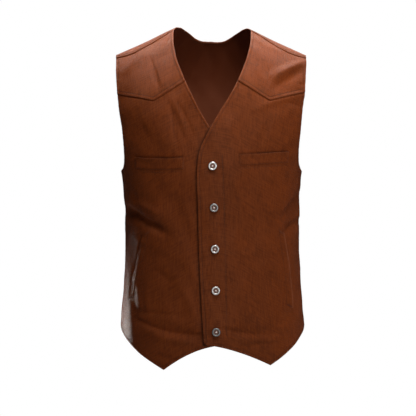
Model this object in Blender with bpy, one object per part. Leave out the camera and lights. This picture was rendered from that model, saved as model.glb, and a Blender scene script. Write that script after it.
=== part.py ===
"""Western canvas vest in the shape that it has when worn: hollow, open at neck, armholes and hem.

Every piece of cloth is a wall worked out on one base surface. A place on that surface has two
coordinates: an angle round the body from centre front, positive towards the wearer's left, and
a girth, the way down from the shoulder ridge, positive over the front and negative over the
back. The wearer faces -Y and the wearer's left is +X. Z is 0 at the middle of the shoulders.
"""

import math
from collections import namedtuple

import bmesh
import bpy
import numpy as np

MM = 0.001  # sizes below are in millimetres, and the scene is in metres
FRONT, BACK = 1, -1
RIGHT, LEFT = -1, 1

# Cloth
CLOTH_WALL = 2.0
SEAM_GAP = 0.3
WELT_WALL = 1.2
WELT_GAP = 0.7
LAP_GAP = 0.8

# Level sections of the base surface, from the hem up to above the shoulders, and how far the
# middle of each one sways to the wearer's left
Section = namedtuple("Section", "height half_width front_depth back_depth sway")
SECTIONS = (
    Section(-700, 190, 122, 114, 0),
    Section(-600, 191, 123, 113, 0),
    Section(-560, 188, 121, 109, 0),
    Section(-480, 183, 119, 99, 0),
    Section(-395, 180, 120, 94, 0),
    Section(-330, 183, 125, 100, -0.5),
    Section(-270, 188, 130, 110, -1.5),
    Section(-190, 214, 129, 119, -3),
    Section(-110, 230, 121, 119, -3),
    Section(-27, 238, 108, 106, -2.5),
    Section(60, 242, 97, 94, -2),
)
SECTION_SQUARENESS = 0.04

# The shoulder ridge, and how far below it the front and the back reach their full depth
Ridge = namedtuple("Ridge", "degrees height")
SHOULDER_RIDGE = (
    Ridge(0, 48),
    Ridge(9, 40.5),
    Ridge(17.4, 24),
    Ridge(28.5, 2),
    Ridge(43.5, -20),
    Ridge(51, -28),
    Ridge(65, -37),
    Ridge(80, -40),
    Ridge(90, -40),
)
FRONT_DOME = 175
BACK_DOME = 150

# Front edges: how far each one lies to its own side of the closure line, and that line's lean
Edge = namedtuple("Edge", "height offset")
FRONT_EDGE = (
    Edge(-700, -25),
    Edge(-610, -25.5),
    Edge(-560, -28),
    Edge(-480, -31),
    Edge(-430, -32),
    Edge(-346, -32),
    Edge(-262, -30.5),
    Edge(-240, -26.5),
    Edge(-224, -21),
    Edge(-204, -10.5),
    Edge(-174, 7),
    Edge(-149, 21.5),
    Edge(-125, 34.8),
    Edge(-89, 53),
    Edge(-71, 60.5),
    Edge(-43, 71),
    Edge(-16, 77.5),
    Edge(25, 81),
)
Lean = namedtuple("Lean", "height x")
CLOSURE_LEAN = (
    Lean(-700, 8),
    Lean(-600, 7.5),
    Lean(-430, 5),
    Lean(-346, 3),
    Lean(-262, 0),
    Lean(-204, -3.5),
    Lean(-150, -5),
    Lean(-125, -3.5),
    Lean(-89, -2.2),
    Lean(-43, -2),
    Lean(25, 0),
)
EDGE_FOOT_HEIGHT = -620.5
NECK_HEIGHT = 21.5
BREAK_HEIGHT = -262

# The left front laps over the right one along the closure line
LAP_WIDTH = 33
LAP_CLEARANCE = 4
LAP_RAMP = 44
LAP_TOP_HEIGHT = -125
LAP_TOP_RUN = 60

# Hem of each front: its point, measured from the closure line, and its height at the side seam
Front = namedtuple("Front", "name side point_offset point_height side_height inner_bend outer_bend")
FRONTS = (
    Front("right", RIGHT, 106, -671.5, -583, 2.0, 1.3),
    Front("left", LEFT, 109, -662.5, -590, 1.6, 1.5),
)
BACK_HEM_DIP = 12

# Armholes, shoulder seams and back neck
ARM_DEGREES = 51
ARM_SQUARENESS = 4.0
ARM_SCOOP_DEGREES = 1.3
ARM_SCOOP_POWER = 3
UNDERARM_HEIGHT = -270
SHOULDER_TIP_GIRTH = 50
SHOULDER_SEAM_BOW = 28
BACK_NECK_GIRTH = -112
BACK_NECK_POWER = 2.6

# Yoke seam of each front: height at the neck edge, the point, and height at the armhole
Yoke = namedtuple("Yoke", "neck_height point_x point_height arm_height")
YOKES = {RIGHT: Yoke(-89, 118.5, -129, -114), LEFT: Yoke(-89, 115.5, -128.5, -109)}

# Chest welts: two ends of the top edge, and how deep the strip is
ChestWelt = namedtuple("ChestWelt", "name side inner_x inner_top outer_x outer_top depth")
CHEST_WELTS = (
    ChestWelt("right", RIGHT, 57, -245, 157, -244, 24),
    ChestWelt("left", LEFT, 53, -240, 153, -232, 23),
)
# Hand welts: the ends of the slanting middle line, and half the strip's width round the body
HandWelt = namedtuple("HandWelt", "top_x top_height foot_x foot_height")
HAND_WELTS = {RIGHT: HandWelt(133, -396, 168, -530), LEFT: HandWelt(139, -393, 157, -546)}
HAND_HALF_WIDTH = 10

# Buttons with a sunk middle and a rivet head in it
BUTTON_COUNT = 5
BUTTON_TOP_HEIGHT = -262
BUTTON_PITCH = 83.2
BUTTON_GAP = 0.3
BUTTON_SIDES = 16
Turning = namedtuple("Turning", "radius height")
BUTTON_PROFILE = (
    Turning(0, 0),
    Turning(6.2, 0),
    Turning(8.0, 1.0),
    Turning(8.6, 2.2),
    Turning(8.0, 3.3),
    Turning(6.6, 3.9),
    Turning(5.0, 3.4),
    Turning(4.2, 2.2),
    Turning(0, 2.2),
)
STUD_PROFILE = (
    Turning(0, 2.5),
    Turning(2.4, 2.5),
    Turning(2.2, 3.1),
    Turning(1.3, 3.6),
    Turning(0, 3.8),
)
STUD_SIDES = 10

# Largest folds, as seen from the front or back: two ends, rise out of the cloth, half width
Fold = namedtuple("Fold", "face x_start z_start x_end z_end rise half_width")
FOLDS = (
    Fold(FRONT, -173, -356, -94, -397, -5.0, 10),
    Fold(FRONT, -161, -405, -166, -490, -6.0, 8),
    Fold(FRONT, -165, -500, -157, -560, -4.5, 8),
    Fold(FRONT, -150, -372, -96, -350, 2.5, 14),
    Fold(FRONT, 188, -46, 124, -78, 4.0, 9),
    Fold(FRONT, 178, -66, 126, -104, -4.0, 9),
    Fold(FRONT, 182, -314, 152, -395, -5.5, 11),
    Fold(FRONT, -134, -16, -178, -70, 2.5, 8),
    Fold(FRONT, -124, -63, -108, -106, -1.0, 6),
    Fold(FRONT, -82, -138, -45, -229, -1.3, 9),
    Fold(FRONT, -126, -578, -35, -600, -2.5, 11),
    Fold(FRONT, 60, -592, 156, -606, -2.5, 11),
    Fold(BACK, -150, -300, -60, -372, -4.0, 13),
    Fold(BACK, 150, -318, 66, -390, -4.0, 13),
    Fold(BACK, -70, -425, 74, -418, -3.0, 14),
    Fold(BACK, 108, -120, 92, -215, -2.5, 12),
    Fold(BACK, -110, -130, -96, -225, -2.5, 12),
)
FOLD_FADE = 0.15
FACING_BAND = 70

# Mesh cells: front edge to hem point to side, hem to underarm to yoke, and so on
FRONT_COLUMNS = (9, 11)
FRONT_ROWS = (15, 9)
YOKE_ROWS = 6
BACK_COLUMNS = (7, 16)
BACK_ROWS = (16, 14)
CHEST_WELT_CELLS = (10, 3)
HAND_WELT_CELLS = (4, 14)
BOUNDARY_SAMPLES = 160
ANGLE_SCALE = 150  # millimetres of cloth to a radian, for spacing points along a boundary
ANGLE_STEP, GIRTH_STEP = 1e-3, 0.2  # small steps that slopes are measured over
SIDE_SEAM_GIRTH = 400  # a place well down the side seam

SHARP_DEGREES = 40  # edges that bend more than this are shaded sharp
MERGE_DISTANCE = 1e-6  # metres, for the doubled points where a turned solid closes

Finish = namedtuple("Finish", "colour roughness metallic")
FINISHES = {
    "canvas": Finish((0.220, 0.042, 0.011, 1), 0.85, 0),
    "welt_canvas": Finish((0.210, 0.040, 0.010, 1), 0.85, 0),
    "nickel": Finish((0.56, 0.55, 0.52, 1), 0.35, 1),
    "copper": Finish((0.50, 0.27, 0.18, 1), 0.4, 1),
}


def column(table, name):
    """One named column of a table, as an array."""
    return np.array([getattr(row, name) for row in table], float)


def curve_through(table, along, value, at):
    """Cubic curve through a table's rows, with slopes taken from the neighbouring rows."""
    knots, values = column(table, along), column(table, value)
    slopes = np.gradient(values, knots)
    at = np.clip(at, knots[0], knots[-1])
    i = np.clip(np.searchsorted(knots, at) - 1, 0, len(knots) - 2)
    span = knots[i + 1] - knots[i]
    t = (at - knots[i]) / span
    start = (1 + 2 * t) * (1 - t) ** 2 * values[i] + t * (1 - t) ** 2 * span * slopes[i]
    end = t**2 * (3 - 2 * t) * values[i + 1] - t**2 * (1 - t) * span * slopes[i + 1]
    return start + end


def ease(t):
    """0 below 0, 1 above 1, and a smooth step between."""
    t = np.clip(t, 0, 1)
    return t * t * (3 - 2 * t)


def half_width(height):
    return curve_through(SECTIONS, "height", "half_width", height)


def sway(height):
    return curve_through(SECTIONS, "height", "sway", height)


def ridge_height(angle):
    return curve_through(SHOULDER_RIDGE, "degrees", "height", np.abs(np.degrees(angle)))


def closure_x(height):
    return curve_through(CLOSURE_LEAN, "height", "x", height)


def surface(angle, girth):
    """Points of the base surface: a squared ellipse round the body under a rounded shoulder."""
    front = girth >= 0
    dome = np.where(front, FRONT_DOME, BACK_DOME)
    turn = np.minimum(np.abs(girth) / dome, math.pi / 2)
    fall = dome * (1 - np.cos(turn)) + np.maximum(np.abs(girth) - dome * math.pi / 2, 0)
    z = ridge_height(angle) - fall
    front_depth = curve_through(SECTIONS, "height", "front_depth", z)
    back_depth = curve_through(SECTIONS, "height", "back_depth", z)
    depth = np.where(front, -front_depth, back_depth) * np.sin(turn)
    square = SECTION_SQUARENESS
    x = sway(z) + half_width(z) * (np.sin(angle) + square * np.sin(3 * angle)) / (1 - square)
    y = depth * (np.cos(angle) - square * np.cos(3 * angle)) / (1 - square)
    return np.stack([x, y, z], axis=-1)


def angle_at(x, height):
    """The angle of the point x to the side at this height, by Newton's method."""
    square = SECTION_SQUARENESS
    target = np.clip((x - sway(height)) / half_width(height), -1, 1) * (1 - square)
    sine = target.copy()
    for _ in range(8):
        miss = (1 + 3 * square) * sine - 4 * square * sine**3 - target
        sine -= miss / (1 + 3 * square - 12 * square * sine**2)
    return np.arcsin(np.clip(sine, -1, 1))


def girth_at(angle, height, face):
    """The girth of the point at this angle and height on the front or the back."""
    dome = FRONT_DOME if face == FRONT else BACK_DOME
    fall = np.maximum(ridge_height(angle) - height, 0)
    rounded = dome * np.arccos(np.clip(1 - fall / dome, 0, 1))
    return face * (rounded + np.maximum(fall - dome, 0))


def place(x, height, face=FRONT):
    """Angle and girth of what shows at (x, height) from the front or the back."""
    x, height = np.broadcast_arrays(np.asarray(x, float), np.asarray(height, float))
    angle = angle_at(x, height)
    return np.stack([angle, girth_at(angle, height, face)], axis=-1)


def fold_relief(points):
    """How far the folds lift each point: a soft bell across each fold, faded at its ends."""
    x, y, z = np.moveaxis(points, -1, 0)
    relief = np.zeros_like(x)
    for fold in FOLDS:
        run_x, run_z = fold.x_end - fold.x_start, fold.z_end - fold.z_start
        along = (x - fold.x_start) * run_x + (z - fold.z_start) * run_z
        along = np.clip(along / (run_x**2 + run_z**2), 0, 1)
        away = np.hypot(x - fold.x_start - along * run_x, z - fold.z_start - along * run_z)
        ends = np.sin(math.pi * (FOLD_FADE + (1 - 2 * FOLD_FADE) * along))
        facing = ease(0.5 - fold.face * y / FACING_BAND)
        relief += fold.rise * ends * facing * np.exp(-((away / fold.half_width) ** 2))
    return relief


def lap_lift(points):
    """How far the left front stands out to clear the right one under it."""
    x, z = points[..., 0], points[..., 2]
    past = x - closure_x(z) - LAP_WIDTH - LAP_CLEARANCE
    beside = 1 - ease(past / LAP_RAMP)
    below = ease((LAP_TOP_HEIGHT - z) / LAP_TOP_RUN)
    return (CLOTH_WALL + LAP_GAP) * beside * below


def normals_of(shape, angle, girth):
    """Outward unit normals of a surface, from small steps in its two coordinates."""
    round_body = shape(angle + ANGLE_STEP, girth) - shape(angle - ANGLE_STEP, girth)
    down_body = shape(angle, girth + GIRTH_STEP) - shape(angle, girth - GIRTH_STEP)
    normal = np.cross(down_body, round_body)
    return normal / np.linalg.norm(normal, axis=-1, keepdims=True)


def layer(domain, lift, lapped):
    """Points of the folded cloth surface, moved out by lift along its normals."""

    def folded(angle, girth):
        base = surface(angle, girth)
        relief = fold_relief(base)
        if lapped:
            relief = relief + lap_lift(base)
        return base + normals_of(surface, angle, girth) * relief[..., None]

    angle, girth = domain[..., 0], domain[..., 1]
    return folded(angle, girth) + lift * normals_of(folded, angle, girth)


def slide_down(domain, distance):
    """Boundary places moved down the front, or up the back, by a true distance."""
    angle, girth = domain[..., 0], domain[..., 1]
    step = surface(angle, girth + GIRTH_STEP) - surface(angle, girth - GIRTH_STEP)
    stretch = np.linalg.norm(step, axis=-1) / (2 * GIRTH_STEP)
    return np.stack([angle, girth + distance / stretch], axis=-1)


def evenly(run, count):
    """A boundary run again as count cells of like length."""
    steps = np.diff(run * [ANGLE_SCALE, 1], axis=0)
    along = np.concatenate([[0], np.cumsum(np.hypot(steps[:, 0], steps[:, 1]))])
    at = np.linspace(0, along[-1], count + 1)
    return np.stack([np.interp(at, along, run[:, k]) for k in range(2)], axis=-1)


def joined(*runs):
    """Boundary runs end to end, each shared corner kept once."""
    return np.concatenate([runs[0]] + [run[1:] for run in runs[1:]])


def patch(bottom, top, left, right):
    """Coons patch: the grid of places that four boundaries enclose."""
    u = np.linspace(0, 1, len(bottom))[:, None, None]
    v = np.linspace(0, 1, len(left))[None, :, None]
    across = (1 - u) * left[None] + u * right[None]
    upward = (1 - v) * bottom[:, None] + v * top[:, None]
    low = (1 - u) * bottom[0] + u * bottom[-1]
    high = (1 - u) * top[0] + u * top[-1]
    return across + upward - ((1 - v) * low + v * high)


def side_angle(side):
    """The side seam's angle on one panel, half a seam gap short of the quarter turn."""
    step = surface(np.array(math.pi / 2 - ANGLE_STEP), np.array(SIDE_SEAM_GIRTH))
    stretch = abs(step[1]) / ANGLE_STEP
    return side * (math.pi / 2 - SEAM_GAP / 2 / stretch)


def front_edge_offset(height):
    return curve_through(FRONT_EDGE, "height", "offset", height)


def front_edge_x(height, side):
    return closure_x(height) + side * front_edge_offset(height)


def front_hem(front):
    """A front's hem: a hollow curve from the front edge to the point, then up to the side."""
    share = np.linspace(0, 1, BOUNDARY_SAMPLES)
    foot_offset = front_edge_offset(EDGE_FOOT_HEIGHT)
    offset = foot_offset + (front.point_offset - foot_offset) * share
    height = EDGE_FOOT_HEIGHT + (front.point_height - EDGE_FOOT_HEIGHT) * share**front.inner_bend
    inner = place(closure_x(height) + front.side * offset, height)
    angle = np.linspace(inner[-1, 0], side_angle(front.side), BOUNDARY_SAMPLES)
    rise = (front.point_height - front.side_height) * (1 - share) ** front.outer_bend
    outer = np.stack([angle, girth_at(angle, front.side_height + rise, FRONT)], axis=-1)
    return joined(evenly(inner, FRONT_COLUMNS[0]), evenly(outer, FRONT_COLUMNS[1]))


def shoulder_seam(side):
    """The shoulder seam from the neck edge to the tip, bowed forward of the ridge between."""
    neck = place(front_edge_x(NECK_HEIGHT, side), NECK_HEIGHT)
    tip = np.array([side * math.radians(ARM_DEGREES), SHOULDER_TIP_GIRTH])
    seam = np.linspace(neck, tip, BOUNDARY_SAMPLES)
    seam[:, 1] += SHOULDER_SEAM_BOW * np.sin(np.linspace(0, math.pi, BOUNDARY_SAMPLES))
    return seam


def armhole(side, face):
    """Armhole edge of a front or back, from the shoulder seam's tip round to the side seam."""
    turn = np.linspace(0, math.pi / 2, BOUNDARY_SAMPLES)
    down = np.sin(turn) ** (2 / ARM_SQUARENESS)
    out = 1 - np.cos(turn) ** (2 / ARM_SQUARENESS)
    tip, end = side * math.radians(ARM_DEGREES), side_angle(side)
    underarm = girth_at(np.array(end), UNDERARM_HEIGHT, face)
    girth = SHOULDER_TIP_GIRTH + (underarm - SHOULDER_TIP_GIRTH) * down
    scoop = side * math.radians(ARM_SCOOP_DEGREES) * np.sin(math.pi * down**ARM_SCOOP_POWER) ** 2
    return np.stack([tip + (end - tip) * out - scoop, girth], axis=-1)


def split_at_height(run, height):
    """A run cut in two where it falls past a height."""
    heights = surface(run[:, 0], run[:, 1])[:, 2]
    cut = int(np.argmax(heights < height))
    t = (heights[cut - 1] - height) / (heights[cut - 1] - heights[cut])
    at = run[cut - 1] + t * (run[cut] - run[cut - 1])
    return np.vstack([run[:cut], at]), np.vstack([at, run[cut:]])


def yoke_seam(side):
    """The pointed seam between front and yoke, straight from neck to point to armhole."""
    yoke = YOKES[side]
    neck_x = front_edge_x(yoke.neck_height, side)
    arm = split_at_height(armhole(side, FRONT), yoke.arm_height)[0][-1]
    arm_x = surface(arm[0], arm[1])[0]
    share = np.linspace(0, 1, BOUNDARY_SAMPLES)
    fall = yoke.point_height - yoke.neck_height
    rise = yoke.arm_height - yoke.point_height
    point_x = side * yoke.point_x
    inner = place(neck_x + (point_x - neck_x) * share, yoke.neck_height + fall * share)
    outer = place(point_x + (arm_x - point_x) * share, yoke.point_height + rise * share)
    return joined(evenly(inner, FRONT_COLUMNS[0]), evenly(outer, FRONT_COLUMNS[1]))


def front_edge_run(side, low, high):
    height = np.linspace(low, high, BOUNDARY_SAMPLES)
    return place(front_edge_x(height, side), height)


def front_places(front):
    """The grid of a front below its yoke."""
    bottom = front_hem(front)
    top = slide_down(yoke_seam(front.side), SEAM_GAP / 2)
    low_rows, high_rows = FRONT_ROWS
    edge_low = evenly(front_edge_run(front.side, EDGE_FOOT_HEIGHT, BREAK_HEIGHT), low_rows)
    yoke = YOKES[front.side]
    edge_high = front_edge_run(front.side, BREAK_HEIGHT, yoke.neck_height)
    edge_high[-1] = top[0]
    below_yoke = split_at_height(armhole(front.side, FRONT), yoke.arm_height)[1][::-1].copy()
    below_yoke[-1] = top[-1]
    seam = evenly(np.stack([bottom[-1], below_yoke[0]]), low_rows)
    left = joined(edge_low, evenly(edge_high, high_rows))
    right = joined(seam, evenly(below_yoke, high_rows))
    return patch(bottom, top, left, right)


def yoke_places(side):
    """The grid of a front yoke, from its pointed seam up to the shoulder seam."""
    bottom = slide_down(yoke_seam(side), -SEAM_GAP / 2)
    seam = slide_down(shoulder_seam(side), SEAM_GAP / 2)
    top = joined(
        evenly(seam[: BOUNDARY_SAMPLES // 2], FRONT_COLUMNS[0]),
        evenly(seam[BOUNDARY_SAMPLES // 2 - 1 :], FRONT_COLUMNS[1]),
    )
    yoke = YOKES[side]
    edge = front_edge_run(side, yoke.neck_height, NECK_HEIGHT)
    edge[0], edge[-1] = bottom[0], top[0]
    above_yoke = split_at_height(armhole(side, FRONT), yoke.arm_height)[0][::-1].copy()
    above_yoke[0], above_yoke[-1] = bottom[-1], top[-1]
    return patch(bottom, top, evenly(edge, YOKE_ROWS), evenly(above_yoke, YOKE_ROWS))


def back_places():
    """The grid of the back, from its hem over the shoulder ridge to the shoulder seams."""
    right, left = FRONTS
    angle = np.linspace(side_angle(RIGHT), side_angle(LEFT), BOUNDARY_SAMPLES)
    share = np.linspace(0, 1, BOUNDARY_SAMPLES)
    height = right.side_height + (left.side_height - right.side_height) * share
    height = height - BACK_HEM_DIP * np.cos(angle)
    hem = np.stack([angle, girth_at(angle, height, BACK)], axis=-1)
    shoulder_columns, neck_columns = BACK_COLUMNS
    bottom = evenly(hem, 2 * shoulder_columns + neck_columns)

    seam_right = slide_down(shoulder_seam(RIGHT)[::-1], -SEAM_GAP / 2)
    seam_left = slide_down(shoulder_seam(LEFT), -SEAM_GAP / 2)
    neck = np.linspace(seam_right[-1], seam_left[0], BOUNDARY_SAMPLES)
    sunk = 1 - np.abs(2 * share - 1) ** BACK_NECK_POWER
    neck[:, 1] += (BACK_NECK_GIRTH - neck[:, 1]) * sunk
    top = joined(
        evenly(seam_right, shoulder_columns),
        evenly(neck, neck_columns),
        evenly(seam_left, shoulder_columns),
    )

    sides = []
    for side, foot, tip in ((RIGHT, bottom[0], top[0]), (LEFT, bottom[-1], top[-1])):
        edge = armhole(side, BACK)[::-1].copy()
        edge[-1] = tip
        seam = np.stack([foot, edge[0]])
        sides.append(joined(evenly(seam, BACK_ROWS[0]), evenly(edge, BACK_ROWS[1])))
    return patch(bottom, top, *sides)


def chest_welt_places(welt):
    """The grid of a chest welt, between its slightly slanting long edges."""
    columns, rows = CHEST_WELT_CELLS
    share = np.linspace(0, 1, columns + 1)[:, None]
    drop = np.linspace(welt.depth, 0, rows + 1)[None, :]
    x = welt.inner_x + (welt.outer_x - welt.inner_x) * share
    top = welt.inner_top + (welt.outer_top - welt.inner_top) * share
    return place(welt.side * x, top - drop)


def hand_welt_places(side):
    """The grid of a hand pocket's welt, a strip of even width along its slanting line."""
    columns, rows = HAND_WELT_CELLS
    welt = HAND_WELTS[side]
    ends = place(
        side * np.array([welt.top_x, welt.foot_x]), np.array([welt.top_height, welt.foot_height])
    )
    middle = np.linspace(ends[0], ends[1], rows + 1)
    across = np.linspace(-HAND_HALF_WIDTH, HAND_HALF_WIDTH, columns + 1)
    step = surface(middle[:, 0] + ANGLE_STEP, middle[:, 1]) - surface(middle[:, 0], middle[:, 1])
    stretch = np.linalg.norm(step, axis=-1) / ANGLE_STEP
    angle = middle[None, :, 0] + side * across[:, None] / stretch[None, :]
    girth = np.broadcast_to(middle[None, :, 1], angle.shape)
    return np.stack([angle, girth], axis=-1)


def add_object(name, mesh_builder, material):
    """Links one named object whose closed mesh comes from a bmesh, facing out."""
    bmesh.ops.recalc_face_normals(mesh_builder, faces=mesh_builder.faces)
    mesh = bpy.data.meshes.new(name)
    mesh_builder.to_mesh(mesh)
    mesh_builder.free()
    mesh.shade_smooth()
    mesh.set_sharp_from_angle(angle=math.radians(SHARP_DEGREES))
    mesh.materials.append(material)
    obj = bpy.data.objects.new(name, mesh)
    bpy.context.scene.collection.objects.link(obj)
    return obj


def add_wall(name, places, inside, outside, lapped, material):
    """A closed wall between two layers of the cloth over the same grid of places."""
    shell = bmesh.new()
    columns, rows = places.shape[:2]
    grids = []
    for lift in (outside, inside):
        points = layer(places, lift, lapped) * MM
        grids.append([[shell.verts.new(point) for point in line] for line in points])
    for grid in grids:
        for i in range(columns - 1):
            for j in range(rows - 1):
                corners = (grid[i][j], grid[i + 1][j], grid[i + 1][j + 1], grid[i][j + 1])
                shell.faces.new(corners)
    rim = [(i, 0) for i in range(columns)] + [(columns - 1, j) for j in range(1, rows)]
    rim += [(i, rows - 1) for i in range(columns - 2, -1, -1)]
    rim += [(0, j) for j in range(rows - 2, 0, -1)]
    outer, inner = grids
    for (i, j), (k, m) in zip(rim, rim[1:] + rim[:1]):
        shell.faces.new((outer[i][j], outer[k][m], inner[k][m], inner[i][j]))
    return add_object(name, shell, material)


def add_turned(name, profile, sides, material):
    """A solid turned round its own Z axis from a profile that starts and ends on the axis."""
    turned = bmesh.new()
    verts = [turned.verts.new((row.radius * MM, 0, row.height * MM)) for row in profile]
    edges = [turned.edges.new(pair) for pair in zip(verts, verts[1:])]
    bmesh.ops.spin(
        turned,
        geom=verts + edges,
        cent=(0, 0, 0),
        axis=(0, 0, 1),
        angle=math.tau,
        steps=sides,
        use_merge=True,
    )
    bmesh.ops.remove_doubles(turned, verts=turned.verts, dist=MERGE_DISTANCE)
    return add_object(name, turned, material)


def add_button(number, nickel, copper):
    """One button and its rivet head, seated on the lapped left front."""
    height = BUTTON_TOP_HEIGHT - BUTTON_PITCH * (number - 1)
    seat = place(closure_x(height), height)
    foot = layer(seat, BUTTON_GAP, True)
    out = layer(seat, BUTTON_GAP + 1, True) - foot
    lean = math.atan2(-out[2], -out[1])
    turn = math.atan2(out[0], -out[1])
    for name, profile, sides, material in (
        (f"button_{number}", BUTTON_PROFILE, BUTTON_SIDES, nickel),
        (f"button_stud_{number}", STUD_PROFILE, STUD_SIDES, copper),
    ):
        obj = add_turned(name, profile, sides, material)
        obj.location = foot * MM
        obj.rotation_euler = (math.pi / 2 + lean, 0, turn)


def make_material(name):
    """A material of the table's finish."""
    finish = FINISHES[name]
    material = bpy.data.materials.new(name)
    material.use_nodes = True
    shader = material.node_tree.nodes["Principled BSDF"]
    shader.inputs["Base Color"].default_value = finish.colour
    shader.inputs["Roughness"].default_value = finish.roughness
    shader.inputs["Metallic"].default_value = finish.metallic
    return material


def build_vest():
    for obj in list(bpy.data.objects):
        bpy.data.objects.remove(obj)
    canvas, welt_canvas, nickel, copper = [make_material(name) for name in FINISHES]

    for front in FRONTS:
        lapped = front.side == LEFT
        add_wall(f"front_{front.name}", front_places(front), -CLOTH_WALL, 0, lapped, canvas)
        add_wall(f"yoke_{front.name}", yoke_places(front.side), -CLOTH_WALL, 0, lapped, canvas)
        hand = hand_welt_places(front.side)
        top = WELT_GAP + WELT_WALL
        add_wall(f"hand_welt_{front.name}", hand, WELT_GAP, top, lapped, welt_canvas)
    for welt in CHEST_WELTS:
        lapped = welt.side == LEFT
        grid = chest_welt_places(welt)
        top = WELT_GAP + WELT_WALL
        add_wall(f"chest_welt_{welt.name}", grid, WELT_GAP, top, lapped, welt_canvas)
    add_wall("back", back_places(), -CLOTH_WALL, 0, False, canvas)
    for number in range(1, BUTTON_COUNT + 1):
        add_button(number, nickel, copper)


build_vest()
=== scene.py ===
# %% [markdown]
# # A canvas vest, dressed in cloth, thread and metal
# The imported model gives the vest as plain walls of the right shape and size. This lesson puts cloth,
# thread and metal on them. First comes the model itself, which fixes where everything goes.

# %% Load the imported model
import math

import bpy
import numpy as np
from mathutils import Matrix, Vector


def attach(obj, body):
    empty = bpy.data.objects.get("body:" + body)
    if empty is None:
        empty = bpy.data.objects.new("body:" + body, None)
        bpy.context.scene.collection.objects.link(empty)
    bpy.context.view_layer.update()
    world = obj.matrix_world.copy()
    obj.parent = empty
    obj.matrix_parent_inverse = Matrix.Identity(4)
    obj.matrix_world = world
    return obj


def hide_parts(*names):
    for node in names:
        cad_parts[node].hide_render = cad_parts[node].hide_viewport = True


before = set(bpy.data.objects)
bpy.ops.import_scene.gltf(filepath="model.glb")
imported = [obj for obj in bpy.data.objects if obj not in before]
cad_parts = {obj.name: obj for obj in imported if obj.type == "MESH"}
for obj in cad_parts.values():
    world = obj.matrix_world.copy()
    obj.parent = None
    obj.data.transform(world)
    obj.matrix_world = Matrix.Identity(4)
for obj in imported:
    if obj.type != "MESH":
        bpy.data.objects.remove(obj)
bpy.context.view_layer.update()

# %% [markdown]
# ## Camera
# A garment is photographed from chest height and from far off, so that nothing bulges. A long
# lens three metres away does the same here. The camera looks straight along +Y, because the
# front of the vest faces -Y.

# %% Camera
CAMERA_PLACE = (-0.009, -3.2, -0.346)
LENS, SENSOR = 133.05, 36

camera = bpy.data.objects.new("camera", bpy.data.cameras.new("camera"))
camera.location = CAMERA_PLACE
camera.rotation_euler = (math.pi / 2, 0, 0)
camera.data.lens, camera.data.sensor_width = LENS, SENSOR
bpy.context.scene.collection.objects.link(camera)
bpy.context.scene.camera = camera
print("camera stands", -CAMERA_PLACE[1], "m in front")

# %% [markdown]
# ## Nodes as sums
# A finish is a small program. Written as links it is hard to read, so one class wraps a socket
# and turns +, - and * into Math nodes. A second class owns a node tree, and its one method adds
# any other node: first its settings, then the values or links of its sockets.


# %% Sockets that add up
class Value:
    """A node's output socket. Sums and products of it add Math nodes."""

    def __init__(self, nodes, socket):
        self.nodes, self.socket = nodes, socket

    def maths(self, operation, *terms):
        return self.nodes.add("ShaderNodeMath", {"operation": operation}, dict(enumerate(terms)))

    def __add__(self, other):
        return self.maths("ADD", self, other)

    def __sub__(self, other):
        return self.maths("SUBTRACT", self, other)

    def __rsub__(self, other):
        return self.maths("SUBTRACT", other, self)

    def __mul__(self, other):
        return self.maths("MULTIPLY", self, other)

    def sine(self):
        return self.maths("SINE", self)

    def held(self):
        """The value kept between 0 and 1."""
        return self.maths("MAXIMUM", self.maths("MINIMUM", self, 1), 0)

    __radd__, __rmul__ = __add__, __mul__


class Nodes:
    """A node tree, and the one way in which nodes are added to it."""

    def __init__(self, tree):
        self.tree = tree

    def add(self, kind, settings, inputs, output=0):
        node = self.tree.nodes.new(kind)
        for name, setting in settings.items():
            setattr(node, name, setting)
        self.drive(node, inputs)
        return Value(self, node.outputs[output])

    def drive(self, node, values):
        """Links or constants for several sockets of a node."""
        for name, value in values.items():
            self.feed(node.inputs[name], value)

    def feed(self, socket, value):
        if isinstance(value, Value):
            self.tree.links.new(value.socket, socket)
        else:
            socket.default_value = value

    def blend(self, factor, first, second):
        """A colour between two others, by a Mix node."""
        settings = {"data_type": "RGBA"}
        return self.add("ShaderNodeMix", settings, {0: factor, 6: first, 7: second}, output=2)

    def noise(self, vector, scale, detail=2.0):
        """Cloudy values around 0.5."""
        inputs = {"Vector": vector, "Scale": scale, "Detail": detail}
        return self.add("ShaderNodeTexNoise", {}, inputs)

    def bump(self, height, strength, distance):
        """A normal that follows a height."""
        inputs = {"Strength": strength, "Distance": distance, "Height": height}
        return self.add("ShaderNodeBump", {}, inputs)

    def place(self):
        """Object coordinates."""
        return self.add("ShaderNodeTexCoord", {}, {}, output="Object")

    def mark(self, name):
        """A value that the mesh keeps at each point."""
        return self.add("ShaderNodeAttribute", {"attribute_name": name}, {}, output="Fac")


def new_finish(name, constants):
    """A material as (material, nodes, Principled shader), with what is even all over on its sockets."""
    material = bpy.data.materials.new(name)
    material.use_nodes = True
    shader = material.node_tree.nodes["Principled BSDF"]
    for socket, value in constants.items():
        shader.inputs[socket].default_value = value
    return material, Nodes(material.node_tree), shader


print("node helpers ready")

# %% [markdown]
# ## Light
# Product studios light cloth softly. Here one large source hangs over the shoulders and a little
# behind them, so that its light rakes down the front and draws every fold. A small one above the
# chest and a weak one from the side fill the shadows, and a narrow one low behind draws a pale
# line down one edge. Metal shows little but what it mirrors, so the buttons get a large panel in
# front, linked to them alone. The world is white to the eye but weak as a lamp.

# %% Light
WORLD_FILL = 0.02


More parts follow.
